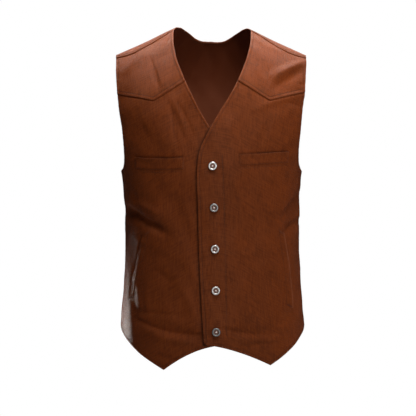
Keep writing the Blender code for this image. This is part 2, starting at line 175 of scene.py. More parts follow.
def add_softbox(name, place, target, size, power, spread=180):
    """A square area light from place to target: metres, watts and the degrees that it fans out."""
    lamp = bpy.data.lights.new(name, "AREA")
    lamp.size, lamp.energy, lamp.spread = size, power, math.radians(spread)
    light = bpy.data.objects.new(name, lamp)
    light.location, light.visible_camera = place, False
    light.rotation_euler = (Vector(target) - Vector(place)).to_track_quat("-Z", "Y").to_euler()
    bpy.context.scene.collection.objects.link(light)
    return light


add_softbox("overhead", (0.03, 0.3, 0.9), (0.0, 0.0, -0.1), 0.8, 20)
add_softbox("chest", (0.15, -0.6, 0.7), (0.0, 0.0, -0.2), 0.5, 6.6)
add_softbox("side", (2.2, -1.6, -0.2), (0.0, 0.0, -0.35), 1.2, 11.4)
add_softbox("strip", (-0.47, 0.34, -0.76), (-0.18, 0.0, -0.61), 0.2, 0.12, spread=24)
metal_pieces = bpy.data.collections.new("metal")
panel_light = add_softbox("metal_panel", (0.0, -2.0, -0.3), (0.0, 0.0, -0.43), 2.4, 18)
panel_light.light_linking.receiver_collection = metal_pieces

world = bpy.data.worlds.new("white_room")
world.use_nodes = True
room = Nodes(world.node_tree)
seen = room.add("ShaderNodeLightPath", {}, {}, output="Is Camera Ray")
world.node_tree.nodes["Background"].inputs["Color"].default_value = (1, 1, 1, 1)
room.feed(world.node_tree.nodes["Background"].inputs["Strength"], seen * (1 - WORLD_FILL) + WORLD_FILL)
bpy.context.scene.world = world
bpy.context.scene.view_settings.view_transform = "Standard"
print("five soft lights, world fill", WORLD_FILL)

# %% [markdown]
# ## Floor
# A plain pale disc is the floor. It belongs to the stage and not to the vest, and it lies below
# what the camera sees. Two helpers start here that every later piece uses: one makes an object
# from points and faces, and the other numbers the corners of a grid's cells.

# %% Floor
FLOOR_HEIGHT, FLOOR_RADIUS = -1.42, 2.6
FLOOR_RINGS, FLOOR_SPOKES = 4, 96
FLOOR_TONES = (0.8, 0.8, 0.8, 1), (0.86, 0.86, 0.86, 1)


def add_mesh(name, points, faces, material, smooth=True):
    """An object at the origin from points in metres and faces of four corners."""
    mesh = bpy.data.meshes.new(name)
    mesh.from_pydata(points.reshape(-1, 3).tolist(), [], faces.tolist())
    mesh.materials.append(material)
    if smooth:
        mesh.shade_smooth()
    obj = bpy.data.objects.new(name, mesh)
    bpy.context.scene.collection.objects.link(obj)
    return obj


def grid_faces(columns, rows, closed=False):
    """Corners of the cells of a grid of points, which may close on itself across its columns."""
    number = np.arange(columns * rows).reshape(columns, rows)
    if closed:
        number = np.concatenate([number, number[:1]])
    corners = [number[:-1, :-1], number[1:, :-1], number[1:, 1:], number[:-1, 1:]]
    return np.stack(corners, axis=-1).reshape(-1, 4)


floor_finish, floor_nodes, floor_shader = new_finish("pale_floor", {"Roughness": 0.7})
floor_tone = floor_nodes.blend(floor_nodes.noise(floor_nodes.place(), 3), *FLOOR_TONES)
floor_nodes.drive(floor_shader, {"Base Color": floor_tone})
spoke = np.linspace(0, math.tau, FLOOR_SPOKES, endpoint=False)[:, None]
ring = np.linspace(0.001, FLOOR_RADIUS, FLOOR_RINGS + 1)[None, :]
floor_points = np.stack([ring * np.cos(spoke), ring * np.sin(spoke), FLOOR_HEIGHT + 0 * ring * spoke], -1)
floor = add_mesh("floor", floor_points, grid_faces(FLOOR_SPOKES, FLOOR_RINGS + 1, True), floor_finish)
print("floor at", FLOOR_HEIGHT, "m")

# %% [markdown]
# ## The body under the cloth
# All the panels lie on one surface, as they do on a tailor's block. A place on it has two
# coordinates: an angle round the body from centre front, and a girth, the way down from the
# shoulder ridge, positive over the front and negative over the back. The tables and formulas
# are those that the solids were made from, in millimetres, so that cloth and solid agree.

# %% Base surface
MM = 0.001
FRONT, BACK = 1, -1
RIGHT, LEFT = -1, 1
SIDES = {RIGHT: "right", LEFT: "left"}
# height, half width, front depth, back depth, sway of the middle to the wearer's left
SECTIONS = np.array([
    (-700, 190, 122, 114, 0), (-600, 191, 123, 113, 0), (-560, 188, 121, 109, 0),
    (-480, 183, 119, 99, 0), (-395, 180, 120, 94, 0), (-330, 183, 125, 100, -0.5),
    (-270, 188, 130, 110, -1.5), (-190, 214, 129, 119, -3), (-110, 230, 121, 119, -3),
    (-27, 238, 108, 106, -2.5), (60, 242, 97, 94, -2),
], float).T
SECTION_SQUARENESS = 0.04
# degrees from centre front, height
SHOULDER_RIDGE = np.array([
    (0, 48), (9, 40.5), (17.4, 24), (28.5, 2), (43.5, -20), (51, -28), (65, -37), (80, -40), (90, -40),
], float).T
FRONT_DOME, BACK_DOME = 175, 150
ANGLE_STEP, GIRTH_STEP = 1e-3, 0.2


def curve(knots, values, at):
    """Cubic curve through points, with slopes taken from the neighbouring points."""
    slopes = np.gradient(values, knots)
    at = np.clip(at, knots[0], knots[-1])
    i = np.clip(np.searchsorted(knots, at) - 1, 0, len(knots) - 2)
    span = knots[i + 1] - knots[i]
    t = (at - knots[i]) / span
    start = (1 + 2 * t) * (1 - t) ** 2 * values[i] + t * (1 - t) ** 2 * span * slopes[i]
    end = t**2 * (3 - 2 * t) * values[i + 1] - t**2 * (1 - t) * span * slopes[i + 1]
    return start + end


def ease(t):
    """0 below 0, 1 above 1, and a smooth step between."""
    t = np.clip(t, 0, 1)
    return t * t * (3 - 2 * t)


def bell(distance, width):
    """1 in the middle, falling softly to both sides."""
    return np.exp(-((distance / width) ** 2))


def ridge_height(angle):
    return curve(*SHOULDER_RIDGE, np.abs(np.degrees(angle)))


def surface(places):
    """Points of a squared ellipse round the body, under a shoulder rounded as a quarter circle."""
    angle, girth = places[..., 0], places[..., 1]
    front = girth >= 0
    dome = np.where(front, FRONT_DOME, BACK_DOME)
    turn = np.minimum(np.abs(girth) / dome, math.pi / 2)
    fall = dome * (1 - np.cos(turn)) + np.maximum(np.abs(girth) - dome * math.pi / 2, 0)
    z = ridge_height(angle) - fall
    height, half_width, front_depth, back_depth, sway = SECTIONS
    depth = np.where(front, -curve(height, front_depth, z), curve(height, back_depth, z)) * np.sin(turn)
    square = SECTION_SQUARENESS
    x = curve(height, half_width, z) * (np.sin(angle) + square * np.sin(3 * angle)) / (1 - square)
    x = x + curve(height, sway, z)
    y = depth * (np.cos(angle) - square * np.cos(3 * angle)) / (1 - square)
    return np.stack([x, y, z], axis=-1)


def slopes_of(shape, places):
    """The two tangents of a surface: round the body for each radian, down it for each millimetre."""
    turn, fall = np.array([ANGLE_STEP, 0]), np.array([0, GIRTH_STEP])
    around = (shape(places + turn) - shape(places - turn)) / (2 * ANGLE_STEP)
    down = (shape(places + fall) - shape(places - fall)) / (2 * GIRTH_STEP)
    return around, down


def unit(vectors):
    return vectors / np.linalg.norm(vectors, axis=-1, keepdims=True)


def normal_of(shape, places):
    """Outward unit normals: the tangent down the body crossed with the one round it."""
    around, down = slopes_of(shape, places)
    return unit(np.cross(down, around))


def angle_at(x, height):
    """The angle of the point x to the side at this height, found by repeated straight steps."""
    square = SECTION_SQUARENESS
    middle, half_width = curve(SECTIONS[0], SECTIONS[4], height), curve(SECTIONS[0], SECTIONS[1], height)
    target = np.clip((x - middle) / half_width, -1, 1) * (1 - square)
    sine = target.copy()
    for _ in range(8):
        miss = (1 + 3 * square) * sine - 4 * square * sine**3 - target
        sine -= miss / (1 + 3 * square - 12 * square * sine**2)
    return np.arcsin(np.clip(sine, -1, 1))


def girth_at(angle, height, face):
    """The girth of the point at this angle and height on the front or the back."""
    dome = FRONT_DOME if face == FRONT else BACK_DOME
    fall = np.maximum(ridge_height(angle) - height, 0)
    rounded = dome * np.arccos(np.clip(1 - fall / dome, 0, 1))
    return face * (rounded + np.maximum(fall - dome, 0))


def place(x, height, face=FRONT):
    """Angle and girth of what shows at (x, height) from the front or the back."""
    x, height = np.broadcast_arrays(np.asarray(x, float), np.asarray(height, float))
    angle = angle_at(x, height)
    return np.stack([angle, girth_at(angle, height, face)], axis=-1)


print("chest front at", surface(place(0, -200)).round(1), "mm")

# %% [markdown]
# ## Folds and creases
# Canvas is stiff, so it folds in few, long, soft troughs, and they start where something pulls:
# at the waist, under the arms, at the yoke points and along the hem. Each row below is one fold,
# seen from the front or the back. It runs along a slightly bowed line, is steeper on one side
# than on the other, and fades at both ends. A cloth simulation would drape the cloth too, but it
# would not put each fold where this vest has it.

# %% Folds
# start x and z, end x and z, bow to the left of its run, rise, half width left and right
FOLDS = {
    FRONT: np.array([
        # the large folds that the solids have too
        (-173, -356, -94, -397, 0, -5.0, 10, 10), (-161, -405, -166, -490, 0, -6.0, 8, 8),
        (-165, -500, -157, -560, 0, -4.5, 8, 8), (-150, -372, -96, -350, 0, 2.5, 14, 14),
        (188, -46, 124, -78, 0, 4.0, 9, 9), (178, -66, 126, -104, 0, -4.0, 9, 9),
        (182, -314, 152, -395, 0, -5.5, 11, 11), (-134, -16, -178, -70, 0, 2.5, 8, 8),
        (-124, -63, -108, -106, 0, -1.0, 6, 6), (-82, -138, -45, -229, 0, -1.3, 9, 9),
        (-126, -578, -35, -600, 0, -2.5, 11, 11), (60, -592, 156, -606, 0, -2.5, 11, 11),
        # right front, the finer ones
        (-161, -405, -166, -490, 0, 2.6, 8, 8), (-165, -500, -157, -560, 0, 1.5, 8, 8),
        (-176, -343, -108, -382, 0, -4.2, 4, 9), (-166, -336, -108, -360, 4, 1.8, 8, 5),
        (-182, -340, -150, -362, 0, -2.8, 8, 12), (-144, -404, -168, -496, 0, -2.2, 4, 3),
        (-192, -165, -120, -226, 0, -3.0, 20, 26), (-127, -40, -107, -102, 2, -0.6, 2.5, 4),
        (-168, -398, -128, -420, -4, 1.3, 9, 5), (-90, -128, -69, -232, 3, -0.8, 4, 8),
        (-70, -134, -36, -207, 2, -0.9, 4, 7), (-78, -132, -50, -220, 2, 0.7, 5, 5),
        (-150, -160, -128, -206, -3, -0.9, 6, 10), (-168, -240, -120, -262, 3, -0.8, 5, 9),
        (-156, -569, -25, -599, -9, -2.4, 4, 8), (-160, -552, -70, -560, -2, -1.4, 4, 7),
        (-115, -606, -30, -616, -2, 1.7, 7, 7), (-125, -640, -75, -650, 0, -1.3, 6, 8),
        (-112, -474, -84, -494, 0, -1.2, 6, 9), (-120, -440, -60, -470, 5, -0.9, 9, 14),
        (-60, -300, -34, -380, -4, 0.8, 9, 12), (-70, -500, -40, -560, 4, 0.9, 12, 9),
        (-140, -480, -132, -560, 2, 1.1, 9, 6), (-172, -300, -150, -345, 3, -1.3, 5, 8),
        # left front, the finer ones
        (172, -92, 189, -97, 0, -0.8, 3, 3), (168, -104, 187, -110, 0, -0.8, 3, 4),
        (148, -133, 184, -141, 1, -1.0, 4, 6), (184, -114, 88, -147, -3, 2.2, 9, 7),
        (86, 2, 108, -14, 0, 1.0, 4, 4), (118, -14, 146, -31, 0, 1.0, 4, 5),
        (182, -312, 146, -356, 0, -5.0, 10, 3), (184, -366, 151, -390, 0, -4.5, 10, 3),
        (152, -395, 149, -446, -2, -1.2, 8, 6), (158, -450, 166, -525, 0, -1.6, 5, 5),
        (118, -484, 143, -514, 0, -1.8, 7, 7), (28, -440, 105, -440, 0, 0.7, 4, 5),
        (118, -150, 96, -214, 4, -0.9, 7, 10), (60, -150, 44, -214, -3, -0.7, 5, 8),
        (18, -587, 92, -602, 0, -2.2, 4, 8), (56, -626, 132, -619, 4, -2.0, 4, 8),
        (60, -610, 150, -608, 0, 1.4, 7, 6), (60, -400, 96, -470, 6, -0.8, 12, 9),
        (100, -500, 70, -566, -5, 0.9, 10, 12), (158, -560, 118, -588, 3, -1.2, 6, 9),
        (168, -470, 160, -540, 2, 0.9, 7, 7), (46, -290, 60, -360, 3, 0.6, 10, 8),
        (170, -350, 120, -372, 3, -1.1, 5, 9),
    ], float),
    BACK: np.array([
        # the large folds that the solids have too
        (-150, -300, -60, -372, 0, -4.0, 13, 13), (150, -318, 66, -390, 0, -4.0, 13, 13),
        (-70, -425, 74, -418, 0, -3.0, 14, 14), (108, -120, 92, -215, 0, -2.5, 12, 12),
        (-110, -130, -96, -225, 0, -2.5, 12, 12),
        # back, the finer ones
        (-168, -342, -84, -400, -6, -1.8, 5, 9), (170, -352, 92, -408, 6, -1.9, 9, 5),
        (-160, -330, -92, -376, -5, 1.3, 8, 6), (158, -336, 90, -386, 5, 1.4, 6, 8),
        (-96, -448, 60, -446, -6, 1.4, 10, 8), (-40, -470, 104, -462, 5, -1.6, 9, 12),
        (-64, -60, -50, -150, 3, -1.0, 8, 11), (60, -66, 54, -146, -3, -0.9, 11, 8),
        (-176, -150, -130, -210, 4, -1.2, 6, 9), (178, -156, 136, -214, -4, -1.1, 9, 6),
        (-130, -520, -112, -590, 3, -1.3, 8, 12), (120, -510, 110, -588, -3, -1.2, 12, 8),
        (-40, -530, -30, -596, 2, 1.0, 11, 9), (36, -520, 44, -594, -2, -1.0, 9, 11),
        (-84, -300, 70, -306, 7, -0.9, 12, 16), (-30, -180, 34, -186, 5, -0.6, 12, 16),
    ], float),
}
FOLD_FADE = 0.15
FACING_BAND = 70
# waves round the body, wave length down it, phase, height of the slack that no crease explains
SLACK = ((8, 210, 0.4, 0.55), (13, -130, 2.1, 0.35), (20, 88, 4.0, 0.22), (-15, 57, 1.2, 0.18))


def fold_relief(points):
    """How far the folds lift each point: a bell across a bowed line, faded at the line's ends."""
    x, y, z = np.moveaxis(points, -1, 0)
    relief = np.zeros_like(x)
    for face, folds in FOLDS.items():
        facing = ease(0.5 - face * y / FACING_BAND)
        for x0, z0, x1, z1, bow, rise, left_width, right_width in folds:
            run = np.hypot(x1 - x0, z1 - z0)
            along = ((x - x0) * (x1 - x0) + (z - z0) * (z1 - z0)) / run**2
            aside = ((x1 - x0) * (z - z0) - (z1 - z0) * (x - x0)) / run
            t = np.clip(along, 0, 1)
            aside = aside - bow * 4 * t * (1 - t)
            away = np.hypot(aside, (along - t) * run)
            width = np.where(aside > 0, left_width, right_width)
            ends = np.sin(math.pi * (FOLD_FADE + (1 - 2 * FOLD_FADE) * t))
            relief += rise * ends * facing * bell(away, width)
    return relief


def slack_relief(points):
    """Slow unevenness: a few waves that run aslant round the body."""
    x, y, z = np.moveaxis(points, -1, 0)
    turn = np.arctan2(x, -y)
    return sum(h * np.sin(count * turn + math.tau * z / down + phase) for count, down, phase, h in SLACK)


print("folds at the front and the back:", [len(folds) for folds in FOLDS.values()])

# %% [markdown]
# ## The lap and the cloth as one shape
# The left front crosses over the right one along the closure line and stands out far enough to
# clear it. Base surface, folds, slack and lap together give the cloth. A piece that lies on it,
# such as a stitch or a welt, asks for the same shape with a little lift.

# %% Cloth surface
# height, x of the closure line
CLOSURE_LEAN = np.array([
    (-700, 8), (-600, 7.5), (-430, 5), (-346, 3), (-262, 0), (-204, -3.5), (-150, -5),
    (-125, -3.5), (-89, -2.2), (-43, -2), (25, 0),
], float).T
LAP_STEP = 2.8
LAP_WIDTH, LAP_CLEARANCE, LAP_RAMP = 33, 4, 44
LAP_TOP_HEIGHT, LAP_TOP_RUN = -125, 60


def closure_x(height):
    return curve(*CLOSURE_LEAN, height)


def lap_lift(points):
    """How far the left front stands out to clear the right one under it."""
    x, z = points[..., 0], points[..., 2]
    past = x - closure_x(z) - LAP_WIDTH - LAP_CLEARANCE
    return LAP_STEP * (1 - ease(past / LAP_RAMP)) * ease((LAP_TOP_HEIGHT - z) / LAP_TOP_RUN)


def cloth(places, lift=0.0, lapped=False):
    """Points of the folded cloth, moved out by lift along its normals."""

    def folded(at):
        base = surface(at)
        relief = fold_relief(base) + slack_relief(base)
        if lapped:
            relief = relief + lap_lift(base)
        return base + normal_of(surface, at) * relief[..., None]

    return folded(places) + np.asarray(lift)[..., None] * normal_of(folded, places)


print("lap edge stands out", lap_lift(surface(place(0, -400))).round(2), "mm")

# %% [markdown]
# ## Cutting the panels
# Each panel is a patch between four boundaries: two fronts below their pointed yokes, two yokes
# and one back. The boundaries are the sewing lines and finished edges of the pattern. A grid
# between them, finer towards the edges where the sewing is, carries the cloth.

# %% Boundaries
# height, how far a front edge lies to its own side of the closure line
FRONT_EDGE = np.array([
    (-700, -25), (-610, -25.5), (-560, -28), (-480, -31), (-430, -32), (-346, -32), (-262, -30.5),
    (-240, -26.5), (-224, -21), (-204, -10.5), (-174, 7), (-149, 21.5), (-125, 34.8), (-89, 53),
    (-71, 60.5), (-43, 71), (-16, 77.5), (25, 81),
], float).T
EDGE_FOOT_HEIGHT, BREAK_HEIGHT, NECK_HEIGHT = -620.5, -262, 21.5
EDGE_CORNER = 8
# side: hem point's offset and height, side seam's height, bend before and after the point
HEMS = {RIGHT: (106, -671.5, -583, 2.0, 1.3), LEFT: (109, -662.5, -590, 1.6, 1.5)}
BACK_HEM_DIP = 12
HEM_CROWDING = 1.5
ARM_DEGREES, ARM_SQUARENESS, ARM_SCOOP_DEGREES, ARM_SCOOP_POWER = 51, 4.0, 1.3, 3
UNDERARM_HEIGHT, SHOULDER_TIP_GIRTH, SHOULDER_SEAM_BOW = -270, 50, 28
BACK_NECK_GIRTH, BACK_NECK_POWER = -112, 2.6
# side: heights of the yoke seam at the neck edge, x and height of its point, height at the armhole
YOKES = {RIGHT: (-89, 118.5, -129, -114), LEFT: (-89, 115.5, -128.5, -109)}
# the front runs on a little under the back at the side seam
SIDE_ANGLES = {FRONT: math.pi / 2 + 0.009, BACK: math.pi / 2 - 0.0012}
SAMPLES = 240
# millimetres that a radian counts as, where a way is measured in angle and girth
ANGLE_SCALE = 150


def strides(points, axis=0):
    """Lengths of the steps from each point to the next one."""
    return np.linalg.norm(np.diff(points, axis=axis), axis=-1)


def running(steps):
    """Totals of the steps so far, from 0."""
    return np.concatenate([[0], np.cumsum(steps)])


def between(at, known, rows):
    """Rows of values at these places between the known ones, along straight lines."""
    return np.stack([np.interp(at, known, column) for column in rows.T], axis=-1)


def lengths(run, scale=ANGLE_SCALE):
    """Way along a run of places from its start, with a radian taken as scale millimetres."""
    return running(strides(run * [scale, 1]))


def resample(run, shares, scale=ANGLE_SCALE):
    """The run again, at these shares of its length."""
    along = lengths(run, scale)
    return between(shares * along[-1], along, run)


def joined(*runs):
    """Runs end to end, each shared corner kept once."""
    return np.concatenate([runs[0]] + [run[1:] for run in runs[1:]])


def inset(run, distance):
    """A run moved to its left on the surface, seen from outside, by a true distance.

    The step is the normal crossed with the run's direction, turned into angle and girth.
    """
    points = surface(run)
    ahead = unit(np.gradient(points, axis=0))
    around, down = slopes_of(surface, run)
    step = np.cross(unit(np.cross(down, around)), ahead) * distance
    cross = (around * down).sum(-1)
    aa, dd = (around**2).sum(-1), (down**2).sum(-1)
    sa, sd = (step * around).sum(-1), (step * down).sum(-1)
    det = aa * dd - cross**2
    return run + np.stack([(sa * dd - sd * cross) / det, (sd * aa - sa * cross) / det], axis=-1)


def front_edge_x(height, side):
    return closure_x(height) + side * curve(*FRONT_EDGE, height)


FOOT_OFFSET = curve(*FRONT_EDGE, EDGE_FOOT_HEIGHT)


def front_edge(side, low, high):
    height = np.linspace(low, high, SAMPLES)
    return place(front_edge_x(height, side), height)


def hem(side):
    """A front's hem in two runs: a hollow curve from a rounded corner to the point, then to the side."""
    point_offset, point_height, side_height, inner_bend, outer_bend = HEMS[side]
    share = np.linspace(0, 1, SAMPLES) ** HEM_CROWDING
    from_corner = (point_offset - FOOT_OFFSET) * share
    height = EDGE_FOOT_HEIGHT + (point_height - EDGE_FOOT_HEIGHT) * share**inner_bend
    near = np.clip(1 - from_corner / EDGE_CORNER, 0, 1)
    height = height + EDGE_CORNER * (1 - np.sqrt(1 - near**2))
    inner = place(closure_x(height) + side * (from_corner + FOOT_OFFSET), height)
    share = np.linspace(0, 1, SAMPLES)
    angle = inner[-1, 0] + (side * SIDE_ANGLES[FRONT] - inner[-1, 0]) * share
    height = side_height + (point_height - side_height) * (1 - share) ** outer_bend
    return inner, np.stack([angle, girth_at(angle, height, FRONT)], axis=-1)


def armhole(side, face):
    """Armhole edge of a front or back, from the shoulder seam's tip round to the side seam."""
    turn = np.linspace(0, math.pi / 2, SAMPLES)
    down = np.sin(turn) ** (2 / ARM_SQUARENESS)
    out = 1 - np.cos(turn) ** (2 / ARM_SQUARENESS)
    tip, end = side * math.radians(ARM_DEGREES), side * SIDE_ANGLES[face]
    underarm = girth_at(np.array(end), UNDERARM_HEIGHT, face)
    girth = SHOULDER_TIP_GIRTH + (underarm - SHOULDER_TIP_GIRTH) * down
    scoop = side * math.radians(ARM_SCOOP_DEGREES) * np.sin(math.pi * down**ARM_SCOOP_POWER) ** 2
    return np.stack([tip + (end - tip) * out - scoop, girth], axis=-1)


def split_armhole(side):
    """A front armhole's runs above and below the yoke seam."""
    run = armhole(side, FRONT)
    heights = surface(run)[:, 2]
    arm_height = YOKES[side][3]
    cut = int(np.argmax(heights < arm_height))
    t = (heights[cut - 1] - arm_height) / (heights[cut - 1] - heights[cut])
    at = run[cut - 1] + t * (run[cut] - run[cut - 1])
    return np.vstack([run[:cut], at]), np.vstack([at, run[cut:]])


def yoke_seam(side):
    """The pointed seam between front and yoke, in two straight runs from the neck edge."""
    arm_x = surface(split_armhole(side)[1][0])[0]
    share = np.linspace(0, 1, SAMPLES)
    neck_height, point_x, point_height, arm_height = YOKES[side]
    neck_x, point_x = front_edge_x(neck_height, side), side * point_x
    fall, rise = point_height - neck_height, arm_height - point_height
    inner = place(neck_x + (point_x - neck_x) * share, neck_height + fall * share)
    outer = place(point_x + (arm_x - point_x) * share, point_height + rise * share)
    return inner, outer


def shoulder_seam(side):
    """The shoulder seam from the neck edge to the tip, bowed forward of the ridge between."""
    neck = place(front_edge_x(NECK_HEIGHT, side), NECK_HEIGHT)
    tip = np.array([side * math.radians(ARM_DEGREES), SHOULDER_TIP_GIRTH])
    seam = np.linspace(neck, tip, SAMPLES)
    seam[:, 1] += SHOULDER_SEAM_BOW * np.sin(np.linspace(0, math.pi, SAMPLES))
    return seam


print("shoulder seam", round(float(np.ptp(surface(shoulder_seam(LEFT)), axis=0)[0]), 1), "mm across")

# %% [markdown]
# ## Grids between the boundaries
# A blended patch makes a grid from four boundary runs: what the two sides ask for, plus what
# bottom and top ask for, less what the corners count twice. The seam edges overlap a little, as
# sewn pieces do: the yoke laps over the front, and the back over the yoke.

# %% Panel grids
SEAM_LAP = 2.4
COLUMN_SHARE, ROW_SHARE = 0.45, 0.625


def spread(count, start, end):
    """Shares from 0 to 1 in count steps whose size changes evenly from start to end."""
    steps = np.linspace(start, end, count)
    return running(steps) / steps.sum()


def two_parts(first, second, split):
    """Two sets of shares end to end, meeting at split."""
    return np.concatenate([split * first, split + (1 - split) * second[1:]])


def fine_ends(count):
    """Shares from 0 to 1 in count steps that are finer towards both ends."""
    half = count // 2
    return two_parts(spread(half, 0.4, 1.2), spread(half, 1.2, 0.4), 0.5)


def fitted(runs, shares):
    """Runs end to end, each resampled at its own shares."""
    return joined(*(resample(run, share) for run, share in zip(runs, shares)))


def patch(bottom, top, left, right, u, v):
    """A grid blended between four runs, over the shares u and v."""
    u, v = u[:, None, None], v[None, :, None]
    across = (1 - u) * left[None] + u * right[None]
    upward = (1 - v) * bottom[:, None] + v * top[:, None]
    low = (1 - u) * bottom[0] + u * bottom[-1]
    high = (1 - u) * top[0] + u * top[-1]
    return across + upward - ((1 - v) * low + v * high)


def lapped_over(run, distance):
    """A seam run moved down the front, or up the back, by a true distance."""
    _, down = slopes_of(surface, run)
    return run + np.stack([0 * run[:, 0], distance / np.linalg.norm(down, axis=-1)], axis=-1)


FRONT_COLUMNS = spread(62, 0.35, 1.25), spread(76, 1.25, 0.35)
FRONT_ROWS = spread(122, 0.35, 1.1), spread(84, 1.1, 0.35)
FRONT_U = two_parts(*FRONT_COLUMNS, COLUMN_SHARE)
FRONT_V = two_parts(*FRONT_ROWS, ROW_SHARE)
YOKE_V = fine_ends(56)


def front_grid(side):
    """A front below its yoke: (places, boundary runs by name)."""
    hems, yoke_seams = hem(side), yoke_seam(side)
    bottom, top = fitted(hems, FRONT_COLUMNS), fitted(yoke_seams, FRONT_COLUMNS)
    edge_low = front_edge(side, EDGE_FOOT_HEIGHT + EDGE_CORNER, BREAK_HEIGHT)
    edge_high = front_edge(side, BREAK_HEIGHT, YOKES[side][0])
    arm = split_armhole(side)[1][::-1]
    seam = np.linspace(bottom[-1], arm[0], SAMPLES)
    left, right = fitted((edge_low, edge_high), FRONT_ROWS), fitted((seam, arm), FRONT_ROWS)
    left[0], left[-1], right[-1] = bottom[0], top[0], top[-1]
    runs = {"edge": joined(edge_low, edge_high), "hem": joined(*hems), "arm": arm}
    runs |= {"side": seam, "yoke": joined(*yoke_seams)}
    return patch(bottom, top, left, right, FRONT_U, FRONT_V), runs


def yoke_grid(side):
    """A front yoke, from its pointed seam up to the shoulder seam."""
    yoke_seams = [lapped_over(run, SEAM_LAP) for run in yoke_seam(side)]
    seam, middle = shoulder_seam(side), SAMPLES // 2
    bottom = fitted(yoke_seams, FRONT_COLUMNS)
    top = fitted((seam[: middle + 1], seam[middle:]), FRONT_COLUMNS)
    edge = front_edge(side, YOKES[side][0], NECK_HEIGHT)
    arm = split_armhole(side)[0][::-1]
    left, right = resample(edge, YOKE_V), resample(arm, YOKE_V)
    left[0], left[-1], right[0], right[-1] = bottom[0], top[0], bottom[-1], top[-1]
    runs = {"yoke": joined(*yoke_seams), "shoulder": seam, "edge": edge, "arm": arm}
    return patch(bottom, top, left, right, FRONT_U, YOKE_V), runs


# shares of the back's columns at each shoulder seam and at the neck, and of its rows below the arms
BACK_SHOULDER, BACK_NECK, BACK_LOW_SHARE = 0.2333, 0.5334, 16 / 30
BACK_COLUMNS = spread(36, 0.35, 1.0), spread(96, 1, 1), spread(36, 1.0, 0.35)
BACK_LOW, BACK_HIGH = spread(92, 0.35, 1.1), spread(98, 1.1, 0.35)
# a small scale spaces the armhole's points by their height, so that the back's rows never cross
ARM_SCALE = 20


def back_grid():
    """The back, from its hem over the shoulder ridge to the shoulder seams."""
    angle = np.linspace(-SIDE_ANGLES[BACK], SIDE_ANGLES[BACK], SAMPLES)
    share = np.linspace(0, 1, SAMPLES)
    height = HEMS[RIGHT][2] + (HEMS[LEFT][2] - HEMS[RIGHT][2]) * share - BACK_HEM_DIP * np.cos(angle)
    hem_run = np.stack([angle, girth_at(angle, height, BACK)], axis=-1)
    seam_right = lapped_over(shoulder_seam(RIGHT)[::-1], SEAM_LAP)
    seam_left = lapped_over(shoulder_seam(LEFT), SEAM_LAP)
    neck = np.linspace(seam_right[-1], seam_left[0], SAMPLES)
    neck[:, 1] += (BACK_NECK_GIRTH - neck[:, 1]) * (1 - np.abs(2 * share - 1) ** BACK_NECK_POWER)
    first, middle, last = BACK_COLUMNS
    top = fitted((seam_right, neck, seam_left), BACK_COLUMNS)
    u = np.concatenate([
        BACK_SHOULDER * first,
        BACK_SHOULDER + BACK_NECK * middle[1:],
        1 - BACK_SHOULDER + BACK_SHOULDER * last[1:],
    ])
    bottom = resample(hem_run, u)
    runs = {"hem": hem_run, "shoulder_right": seam_right, "shoulder_left": seam_left, "edge": neck}
    sides = []
    for side, foot, tip in ((RIGHT, bottom[0], top[0]), (LEFT, bottom[-1], top[-1])):
        arm = armhole(side, BACK)[::-1]
        seam = np.linspace(foot, arm[0], SAMPLES)
        run = joined(resample(seam, BACK_LOW), resample(arm, BACK_HIGH, ARM_SCALE))
        run[-1] = tip
        sides.append(run)
        runs |= {f"arm_{SIDES[side]}": arm, f"side_{SIDES[side]}": seam}
    v = two_parts(BACK_LOW, BACK_HIGH, BACK_LOW_SHARE)
    return patch(bottom, top, *sides, u, v), runs


grids = {"back": back_grid()}
for side, name in SIDES.items():
    grids[f"front_{name}"] = front_grid(side)
    grids[f"yoke_{name}"] = yoke_grid(side)
print({name: grid.shape[:2] for name, (grid, runs) in grids.items()})

# %% [markdown]
# ## Edges and seams in the cloth
# A finished edge is cloth turned under twice: it is a little thicker there, and the row of stitches that
# holds it pulls a fine groove and small puckers. At a lapped seam the upper piece stands proud and the
# lower one dips under it. Distance from each boundary gives all of that as relief. The same distances tell
# the finish where the cloth is rubbed pale, partly as a painted highlight, and where painted shade darkens
# grooves and the cloth under a lapped edge.

# %% Relief of edges and seams
CANVAS_WALL = 1.6
EDGE_STITCH = 5.6
SEAM_STITCHES = (2.2, 8.4)
SIDE_STITCH = 3.2
FINISHED = ("edge", "hem", "arm", "arm_right", "arm_left")
PLAIN_SEAMS = ("side", "side_right", "side_left")
EDGE_MIDDLE, SEAM_STEP, OVER_RUN, UNDER_RUN = 2.7, 0.7, 13, 7
# strength and width of each band along a boundary: raised, sunk, rubbed pale with part of it a painted
# highlight, or darkened by painted shade
EDGE_ROLL, EDGE_GROOVE, EDGE_WEAR_AND_HIGHLIGHT, EDGE_SHADE = (0.15, 1.9), (0.32, 1.0), (0.35, 1.6), (0.55, 1.0)
SEAM_GROOVE, SEAM_WEAR, SEAM_SHADE, UNDER_SHADE = (0.3, 0.9), (0.4, 1.4), (0.85, 0.9), (0.8, 1.9)
SIDE_RIDGE, SIDE_GROOVE, SIDE_SHADE, SIDE_UNDERLAP = (0.25, 2.2), (0.7, 1.6), (1.0, 1.5), (0.9, 2.0)
# wave along the seam, its sway and the sway's own wave, middle and width of the band, height
PUCKERS = {
    "edge": (1.9, 2.3, 7.1, 4, 5, 0.16),
    "lapped": (2.3, 1.7, 8.9, 6, 6, 0.15),
    "under": (3.1, 0.0, 1, 5, 5, 0.10),
    "plain": (2.9, 2.0, 11, 4, 6, 0.18),
}


def reach(points, run):
    """Distance of grid points from a boundary run, and the way along the run to its nearest point."""
    line = surface(run)
    along = running(strides(line))
    distance, nearest = np.empty(points.shape[:2]), np.empty(points.shape[:2])
    for column, row in enumerate(points):
        apart = np.linalg.norm(row[:, None] - line[None], axis=-1)
        index = apart.argmin(axis=1)
        distance[column] = apart[np.arange(len(row)), index]
        nearest[column] = along[index]
    return distance, nearest


def band(distance, strength, width):
    return strength * bell(distance, width)


